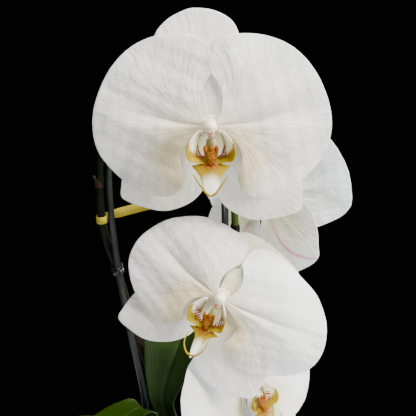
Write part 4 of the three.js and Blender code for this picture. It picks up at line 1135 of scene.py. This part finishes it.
def make_column():
    flush = {"pink": lambda v, u: 0.9 * hump(v, 0.68, 0.34) * hump(u, 0.75, 0.2)}
    hood = loft(HOOD, hood_radius, 40, 44, scoop, **flush)
    # The foot's faint olive is painted shade under the lip; its pink is its own colour.
    tint = {"green": lambda v, u: 0.12 * smooth(v), "pink": lambda v, u: 0.5}
    foot = loft(COLUMN_FOOT, lambda u: 2 - 0.5 * u, 28, 14, **tint)
    cap = pebble((2.0, 1.6, 1.5), (0, 0.1, 10.2), 28, 16)
    beak = pebble((1.5, 0.8, 0.6), (0, -2.0, 10.4), 20, 12, pink=lambda v, u: 0.85)
    pouches = [pebble((0.75, 0.8, 0.6), (side * 0.85, -0.9, 11.1), 14, 8) for side in (-1, 1)]
    base = pebble((5.2, 4.6, 0.45), (0, 1.2, -1.35), 36, 8)
    return together([hood, foot, cap, beak, base, *pouches])


LIP_HINGE = (0, -5.6, 4)
MIDLOBE = Route([
    LIP_HINGE, (0, -9, 5.2), (0, -13, 7.6), (0, -17.6, 9), (0, -24, 12.2), (0, -31.4, 16.2),
])
MIDLOBE_WIDTHS = np.array([
    (0, 2.0), (0.18, 2.6), (0.36, 3.4), (0.43, 5.2), (0.465, 9.4), (0.5, 8.2), (0.55, 6.4),
    (0.62, 4.9), (0.72, 4.1), (0.82, 3.2), (0.92, 2.0), (1, 0.8),
])
LOBE_INNER = Route([
    (1.6, -15.6, 8), (3, -13.4, 7), (5.2, -11.4, 6.2), (6, -8.6, 5.8),
    (5.8, -5.8, 6.2), (4.8, -3.2, 7.2), (4.1, -1.4, 8.2),
])
LOBE_OUTER = Route([
    (3.6, -16.3, 8.9), (7, -15.4, 9.6), (9.9, -14.8, 10.9), (11.2, -11.6, 12.4),
    (10.8, -7.4, 12.2), (8.8, -4.2, 11.2), (5.6, -0.7, 9.6),
])
# Two ways that the lip's threads grow from its tip.
STRAIGHT_THREAD = np.array([
    (0.4, -30.6, 15.8), (2.2, -28.9, 16.7), (4.4, -26, 16.9), (6.5, -23.1, 16.2), (8.2, -20.6, 14.8),
])
CURLED_THREAD = np.array([
    (0.4, -30.4, 15.8), (2.6, -29.6, 16.9), (5, -27, 17.2), (6.4, -23.6, 16.4), (6.3, -19.6, 14.6),
])


def midlobe_width(s):
    near = np.stack([np.interp(s + k, *MIDLOBE_WIDTHS.T) for k in np.linspace(-0.018, 0.018, 7)])
    return near.mean(0)


def midlobe_point(s, t, strip):
    u = np.clip(s, 0, 1)
    half = midlobe_width(u) * (1 + (strip - 1) * smooth((u - 0.47) / 0.1))
    shoulder = hump(u, 0.49, 0.05)
    p = MIDLOBE.at(u) + MIDLOBE.way(u) * (30 * (s - u))[..., None]
    drop = 1.6 * np.abs(t) * (1 - u) + 0.4 * shoulder * t**2 - 0.35 * hump(t, 0, 0.3) * (1 - u)
    return p + stacked(half * t, 0.6 * shoulder * np.abs(t), -drop)


def lobe_point(s, t):
    u, v = np.clip(s, 0, 1), (t + 1) / 2
    inner, outer = LOBE_INNER.by_point(u), LOBE_OUTER.by_point(u)
    ahead, behind = (LOBE_INNER.by_point(np.clip(u + step, 0, 1)) for step in (0.01, -0.01))
    p = inner + (outer - inner) * v[..., None] + unit(ahead - behind) * (20 * (s - u))[..., None]
    return p - stacked(0, 0, 1.7 * np.sin(math.pi * np.clip(v, 0, 1)))


def lobe_yellow(s, t):
    v = (t + 1) / 2
    corner = smooth((0.29 + 0.48 * v - s) / 0.16)
    return np.clip(corner + smooth((t - 0.74) / 0.2) * smooth((0.82 - s) / 0.15), 0, 1)


def lobe_red(s, t, bars):
    """Red-brown marks at a side lobe's foot: lines along it, or a row of short bars across it."""
    v = (t + 1) / 2 + 0.03 * np.sin(19 * s)
    lines = hump(v, 0.06, 0.075) + hump(v, 0.27, 0.06) + hump(v, 0.46, 0.05)
    lines = lines * window(s, 0.1, 0.06, 0.62 - 0.55 * v, 0.06)
    across = smooth(0.6 + 1.3 * np.sin(80 * s + 3 * v))
    row = across * window(s, 0.1, 0.05, 0.66, 0.05) * smooth((0.62 - v) / 0.1)
    foot = 0.8 * smooth((0.05 - s) / 0.03) * smooth((0.8 - v) / 0.2)
    return np.clip((1 - bars) * lines + bars * row + foot, 0, 1)


# Painted greenish shade along a side lobe's inner edge, where it curls in beside the column.
def lobe_green_shade(s, t):
    return 0.9 * hump(t, -1, 0.62) * window(s, 0.3, 0.2, 0.97, 0.1)


def midlobe_yellow(s, t):
    return window(s, 0.2, 0.1, 0.77 + 0.1 * t**2, 0.24) + 0.25 * smooth((s - 0.93) / 0.06)


# Painted greenish shade on the lip's narrow foot, under the column.
def midlobe_green_shade(s, t):
    return 0.85 * smooth((0.34 - s) / 0.15)


def midlobe_red(s, t):
    aside = np.abs(t)
    flush = 0.3 * hump(s, 0.47, 0.09) * smooth((0.6 - aside) / 0.5)
    rim = 0.3 * hump(s, 0.448, 0.014) * window(aside, 0.25, 0.1, 0.85, 0.2)
    streaks = 0.7 * hump(s, 0.4, 0.09) * (0.5 + 0.5 * np.sin(21 * t + 1)) * smooth((0.75 - aside) / 0.3)
    return flush + rim + streaks


def wart_red(v, u):
    return 0.4 + 0.3 * hump(np.sin(6 * math.pi * u), 0, 0.4)


# Warts of the callus: radii, place, sides and rings.
WARTS = [
    ((3.3, 2.9, 1.2), (0, -11.4, 8.6), 30, 18),
    ((2.1, 3.0, 1.2), (0, -14.2, 9.1), 26, 16),
    ((1.1, 1.9, 0.8), (0, -9.2, 9.2), 18, 12),
    ((0.9, 2.0, 0.8), (-2.7, -9.4, 9.1), 18, 12),
    ((0.9, 2.0, 0.8), (2.7, -9.4, 9.1), 18, 12),
]


def thinning(middle):
    """A thickness that falls off towards both margins."""
    return lambda s, t: middle - 0.3 * np.abs(t) ** 3


def make_lip(strip=1, thread=CURLED_THREAD, wide=1, bars=0, yaw=0, lean=0):
    """A lip on its hinge. `strip` narrows its tip, and `bars` makes the marks short and crosswise."""
    lobe = blade(
        lobe_point, np.linspace(0, 1, 45), 22, thinning(0.8),
        yellow=lobe_yellow, red=partial(lobe_red, bars=bars), green=lobe_green_shade,
    )
    midlobe = blade(
        partial(midlobe_point, strip=strip), np.linspace(0, 1, 111), 20, thinning(0.85),
        yellow=midlobe_yellow, red=midlobe_red, green=midlobe_green_shade,
    )
    callus = [pebble(*wart, yellow=lambda v, u: 1.0, red=wart_red) for wart in WARTS]
    u = np.linspace(0, 1, 36)
    threads = [(Route(thread * [side, 1, 1]).at(u), 0.58 - 0.28 * u) for side in (-1, 1)]
    threads = stems("lip_threads", threads, lip_wax, 12)
    threads.fields["yellow"] = np.ones(len(threads.points))
    shape = together([midlobe, lobe, mirrored(lobe), *callus, threads])
    hinge = np.array(LIP_HINGE)
    swung = Matrix.Rotation(math.radians(lean), 3, "Z") @ Matrix.Rotation(math.radians(-yaw), 3, "Y")
    turn = np.array(swung).T
    return shape.moved(lambda p: (p * [wide, 1, 1] - hinge) @ turn + hinge)


# A bloom has its place, its size, its turn to the right, nod down and roll clockwise in degrees, and
# how its tepals and its lip lie. Pairs are for the right and the left petal, and the three shades
# are for the upper, left and right sepal; these shares are partly the tepals' creamier tone and partly
# painted shade. `stalk` is the height at which its stalk leaves the spike.
USUAL = dict(cream=(0, 0), sepal_cream_and_painted_shade=(0, 0, 0), droop=(0, 0), fold=(0, 0), lip={})
BLOOMS = [
    dict(
        USUAL, name="bloom_1", at=(23.9, -105, 304.8), size=1.015, turn=0, nod=2, roll=0, stalk=300,
        wave=0.4, curl=0.002, reach=(1.01, 0.99), fold=(1, 2), cream=(0.18, 0.32),
        sepal_cream_and_painted_shade=(0, 0.22, 0), petals=dict(stretch=1, cup=-3),
        upper=dict(turn=-10, stretch=1.01, wide=0.95),
        left=dict(turn=-128.5, stretch=0.965, wide=0.96, cup=-5),
        right=dict(turn=132.5, stretch=1.04, cup=-5),
        lip=dict(thread=STRAIGHT_THREAD),
    ),
    dict(
        USUAL, name="bloom_2", at=(53, -35, 264.5), size=0.88, turn=137, nod=8, roll=2, stalk=276,
        wave=1.7, curl=0.003, reach=(0.99, 0.99), cream=(0.03, 0.03),
        petals=dict(stretch=0.94, below=0.56, cup=12),
        upper=dict(turn=3, stretch=0.95),
        left=dict(turn=-126, stretch=1.02, belly=1.3),
        right=dict(turn=129, stretch=0.98, wide=1.08),
    ),
    dict(
        USUAL, name="bloom_3", at=(28.4, -105, 221.4), size=0.93, turn=-4, nod=-4, roll=31, stalk=250,
        wave=2.9, curl=0.02, reach=(1.065, 0.94), fold=(3.4, 1), cream=(0.04, 0.32),
        sepal_cream_and_painted_shade=(0.66, 0.1, 0.12), petals=dict(stretch=0.87, below=0.8, cup=-3),
        upper=dict(turn=19, stretch=0.9, wide=1.07, cup=-2),
        left=dict(turn=-132, stretch=0.97, wide=0.95, belly=0.78, cup=-2),
        right=dict(turn=131, stretch=0.98, cup=-6),
        lip=dict(strip=0.62, wide=0.93, bars=1, yaw=15, lean=12),
    ),
    dict(
        USUAL, name="bloom_4", at=(42.2, -72, 171.5), size=0.87, turn=48, nod=-12, roll=-6, stalk=204,
        wave=4.3, curl=0.004, reach=(1.09, 1), droop=(0, 12),
        petals=dict(stretch=0.8, below=0.94),
        upper=dict(turn=-4, stretch=0.95, cup=2),
        left=dict(turn=-133, stretch=0.96, cup=-3),
        right=dict(turn=133, stretch=0.96),
        lip=dict(strip=0.9, bars=1),
    ),
]


def facing(bloom):
    """Takes points of a bloom's own frame to their place on the plant."""
    spin = Matrix.Rotation(math.radians(bloom["turn"]), 3, "Z")
    tip = Matrix.Rotation(math.radians(90 + bloom["nod"]), 3, "X")
    lean = Matrix.Rotation(math.radians(-bloom["roll"]), 3, "Z")
    basis = np.array(spin @ tip @ lean).T * bloom["size"]
    return lambda p: np.asarray(p, float) @ basis + bloom["at"]


def make_bloom(bloom, column):
    place = facing(bloom)
    curl, wave = bloom["curl"], bloom["wave"]
    upper_warm, left_warm, right_warm = bloom["sepal_cream_and_painted_shade"]
    left, right = dict(bloom["left"], turn=-bloom["left"]["turn"]), bloom["right"]

    def petal(k, extra):
        look = dict(wide=bloom["reach"][k], turn=bloom["droop"][k], fold=bloom["fold"][k])
        look |= dict(curl=curl, wave=wave + extra, **bloom["petals"])
        warm = with_more_cream_and_shade(petal_painted_shade, bloom["cream"][k])
        return tepal(PETAL_FLAT, petal_rise, PETAL_GRID, warm, lambda s, t: 1, **look)

    def sepal(flat, look, extra, warm, swing):
        look = dict(look, curl=curl, wave=wave + extra)
        return tepal(flat, sepal_rise, SEPAL_GRID, warm, partial(from_keel, swing=swing), **look)

    def lateral(look, extra, warm):
        return sepal(LATERAL_FLAT, look, extra, with_more_cream_and_shade(lateral_painted_shade, warm), 0.33)

    upper = sepal(UPPER_FLAT, bloom["upper"], 2.1, with_more_cream_and_shade(upper_painted_shade, upper_warm), 0)
    parts = [
        ("petal_right", petal(0, 0), petal_white, "petal"),
        ("petal_left", mirrored(petal(1, 1.3)), petal_white, "petal"),
        ("sepal_upper", upper, sepal_white, "sepal"),
        ("sepal_left", mirrored(lateral(left, 0.6, left_warm)), sepal_white, "sepal"),
        ("sepal_right", lateral(right, 3.3, right_warm), sepal_white, "sepal"),
        ("column", column, column_wax, "column"),
        ("lip", make_lip(**bloom["lip"]), lip_wax, "lip"),
    ]
    for part, shape, material, slot in parts:
        node = f"{bloom['name']}_{part}"
        show(node, shape.moved(place), material)


BUDS = [
    dict(node="bud_1", at=(46, -25, 139), tip=(43.5, -20.5, 126), size=1.0, stalk=150),
    dict(node="bud_2", at=(69, -38, 123), tip=(75, -40, 111), size=0.72, stalk=132),
]
BUD_PROFILE = Route([
    (0.1, 0, 0), (2.6, 0, 0.6), (5.4, 0, 4), (6.6, 0, 8.5),
    (6, 0, 13), (3.8, 0, 16.8), (1.3, 0, 18.6), (0.1, 0, 19),
])


def make_bud(bud):
    """A closed bud whose three outer sepals meet in shallow seams."""
    axis = (Vector(bud["tip"]) - Vector(bud["at"])).normalized()
    turn = np.array(Vector((0, 1, 0)).rotation_difference(axis).to_matrix()).T
    c, d = circle(60)
    angle = np.arange(60) * 2 * math.pi / 60
    seams = 1 - 0.05 * np.maximum(0, np.cos(3 * angle + 0.4)) ** 12
    rings = []
    for r, _, y in BUD_PROFILE.at(np.linspace(0, 1, 50)):
        rings.append(stacked(r * c * seams, y, 0.86 * r * d * seams) * bud["size"])
    shape = skin(rings, green=lambda v, u: smooth((0.45 - v) / 0.4))
    shape = shape.moved(lambda p: p @ turn + bud["at"])
    show(bud["node"], shape, bud_skin)


BRACT_LENGTH, BRACT_BELOW, BRACT_CLEAR = 6.6, 2.4, 0.35


def bract(share, towards):
    """A papery scale that clasps the spike under a stalk or an unused node."""
    along = SPIKE.way(share)
    out = unit(towards - along * (towards @ along))
    side = np.cross(along, out)
    radius = spike_radius(share) + BRACT_CLEAR
    foot = SPIKE.at(share) - along * BRACT_BELOW

    def point(s, t):
        angle = 2.1 * t * np.maximum(0, 1 - s) ** 0.75
        spread = radius + 1.5 * np.maximum(s, 0) ** 2
        ring = out * (spread * np.cos(angle))[..., None] + side * (spread * np.sin(angle))[..., None]
        return foot + ring + along * (BRACT_LENGTH * s)[..., None]

    return blade(point, np.linspace(0, 0.97, 16), 18, lambda s, t: 0.5 - 0.2 * s)


SLEEPING_NODES = [(172, (-1, -0.5, 0)), (268, (-1, -0.3, 0))]


def make_spike():
    u = np.linspace(0, 1, 460)
    swelling = 0 * u
    bracts = []
    strands = []
    for bloom in BLOOMS:
        share = spike_down(bloom["stalk"])
        back = facing(bloom)
        ends = [back((0, 0.4, depth)) for depth in (-15, -8, -3.05, -1.9)]
        node = SPIKE.at(share)
        middle = (node + ends[0]) / 2 + [0, 0, -2]
        w = np.linspace(0, 1, 60)
        girth = (1.55 + 1.05 * smooth((w - 0.35) / 0.6)) * bloom["size"]
        girth = girth * (1 - 0.3 * smooth((w - 0.93) / 0.07))
        strands.append((Route([node, middle, *ends]).at(w), girth))
        bracts.append(bract(share, ends[0] - node))
        swelling += 0.4 * hump(u, share, 0.006)
    for bud in BUDS:
        share = spike_down(bud["stalk"])
        node, end = SPIKE.at(share), np.array(bud["at"], float)
        axis = unit(np.array(bud["tip"]) - end)
        end = end - axis * GAP
        before = end - axis * 5
        middle = node + (before - node) * 0.55 + [0, 0, 1]
        w = np.linspace(0, 1, 40)
        strands.append((Route([node, middle, before, end]).at(w), (1.3 + 0.5 * w) * bud["size"]))
        bracts.append(bract(share, before - node))
        swelling += 0.3 * hump(u, share, 0.006)
    for height, out in SLEEPING_NODES:
        share = spike_up(height)
        scale = bract(share, np.array(out))
        scale.fields["pink"] = np.full(len(scale.points), 0.13)
        bracts.append(scale)
        swelling += 0.45 * hump(u, share, 0.005)
    spike = stems("spike_grown", [(SPIKE.at(u), spike_radius(u) + swelling)], stem_skin, 24, 0.12)
    along = spike.fields["along"]
    spike.fields["pink"] = 0.05 * smooth((along - 0.02) / 0.03) * hump(along, 0.14, 0.06)
    spike.fields["green"] = 0.6 * smooth((along - 0.55) / 0.15)
    stalks = stems("stalks_grown", strands, stem_skin, 20, 0.1)
    stalks.fields["pale"] = 0.75 * smooth((stalks.fields["along"] - 0.2) / 0.6)
    shape = together([spike, stalks, *bracts])
    show("flower_spike", shape, stem_skin)


# The plant
make_pot()
make_bark()
make_crown()
make_leaves()
make_rod()
make_clip("clip_1", ROD.share_at_height(217.5, 0, ROD_TOP), spike_up(217.7))
make_clip("clip_2", ROD.share_at_height(306, 0, ROD_TOP), spike_up(309))
make_clip("clip_3", ROD.share_at_height(283, ROD_TOP, 1), spike_down(283))
make_label()
column_shape = make_column()
for each_bloom in BLOOMS:
    make_bloom(each_bloom, column_shape)
for each_bud in BUDS:
    make_bud(each_bud)
make_spike()


# Floor, light and camera
FLOOR_RADIUS, FLOOR_THICKNESS = 400, 6
CAMERA_PLACE, CAMERA_LENS, CAMERA_NOD = (0.0225, -0.8045, 0.3518), 127.0, 7


def make_floor():
    # A matt pale board, with a faint fibre in it.
    made, put = start_material("pale_board", {"Roughness": 0.75})
    pattern = {"Vector": put("ShaderNodeTexCoord")["Object"], "Scale": spaced(3.3333), "Detail": 3.0}
    fibre = put("ShaderNodeTexNoise", pattern)["Fac"]
    tone = put("ShaderNodeValToRGB", {"Fac": fibre}, [(0.3, "cfcdc8"), (0.7, "d8d6d2")])["Color"]
    pale_board = end_material(made, tone, [(fibre, 0.0002)])
    r, low = FLOOR_RADIUS, -FLOOR_THICKNESS
    profile = [(AXIS, low), (r, low), (r, 0), (AXIS, 0)]
    round_board = turned(filled(np.array(profile, float), 60), 96)
    board = bpy.data.objects.new("floor", mesh_of("floor", round_board, pale_board, soft=False))
    bpy.context.scene.collection.objects.link(board)


# Where the lights look, then each one's name, place, size, power and colour.
LIT_PLACE = (0.02, -0.05, 0.26)
LIGHTS = [
    ("key", (1.5, -0.8, 0.85), (0.8, 0.8), 80, "fffaf2"),
    ("fill", (-1.1, -1.3, 0.6), (1.2, 1.0), 3, "f8f8ff"),
    ("low", (-0.2, -1.5, 0.2), (0.8, 0.25), 9, "fafaff"),
    ("top", (0.3, -0.45, 1.4), (0.5, 0.4), 36, "ffffff"),
    ("back", (0.95, 0.9, 0.85), (0.8, 0.7), 50, "dce8ff"),
]


def soft_light(name, at, size, power, colour):
    lamp = bpy.data.lights.new(name, "AREA")
    lamp.shape = "RECTANGLE"
    lamp.size, lamp.size_y = size
    lamp.energy = power
    lamp.color = linear(colour)[:3]
    obj = bpy.data.objects.new(name, lamp)
    obj.location = at
    obj.rotation_euler = (Vector(LIT_PLACE) - Vector(at)).to_track_quat("-Z", "Y").to_euler()
    bpy.context.scene.collection.objects.link(obj)


def make_studio():
    world = bpy.data.worlds.new("studio")
    world.use_nodes = True
    world.node_tree.nodes["Background"].inputs["Color"].default_value = linear("050505")
    world.node_tree.nodes["Background"].inputs["Strength"].default_value = 1.0
    bpy.context.scene.world = world
    for light in LIGHTS:
        soft_light(*light)


def make_camera():
    camera = bpy.data.objects.new("camera", bpy.data.cameras.new("camera"))
    camera.data.lens = CAMERA_LENS
    camera.data.sensor_width = 36.0
    camera.location = CAMERA_PLACE
    camera.rotation_euler = (math.radians(90 - CAMERA_NOD), 0, 0)
    bpy.context.scene.collection.objects.link(camera)
    bpy.context.scene.camera = camera


make_floor()
make_studio()
make_camera()
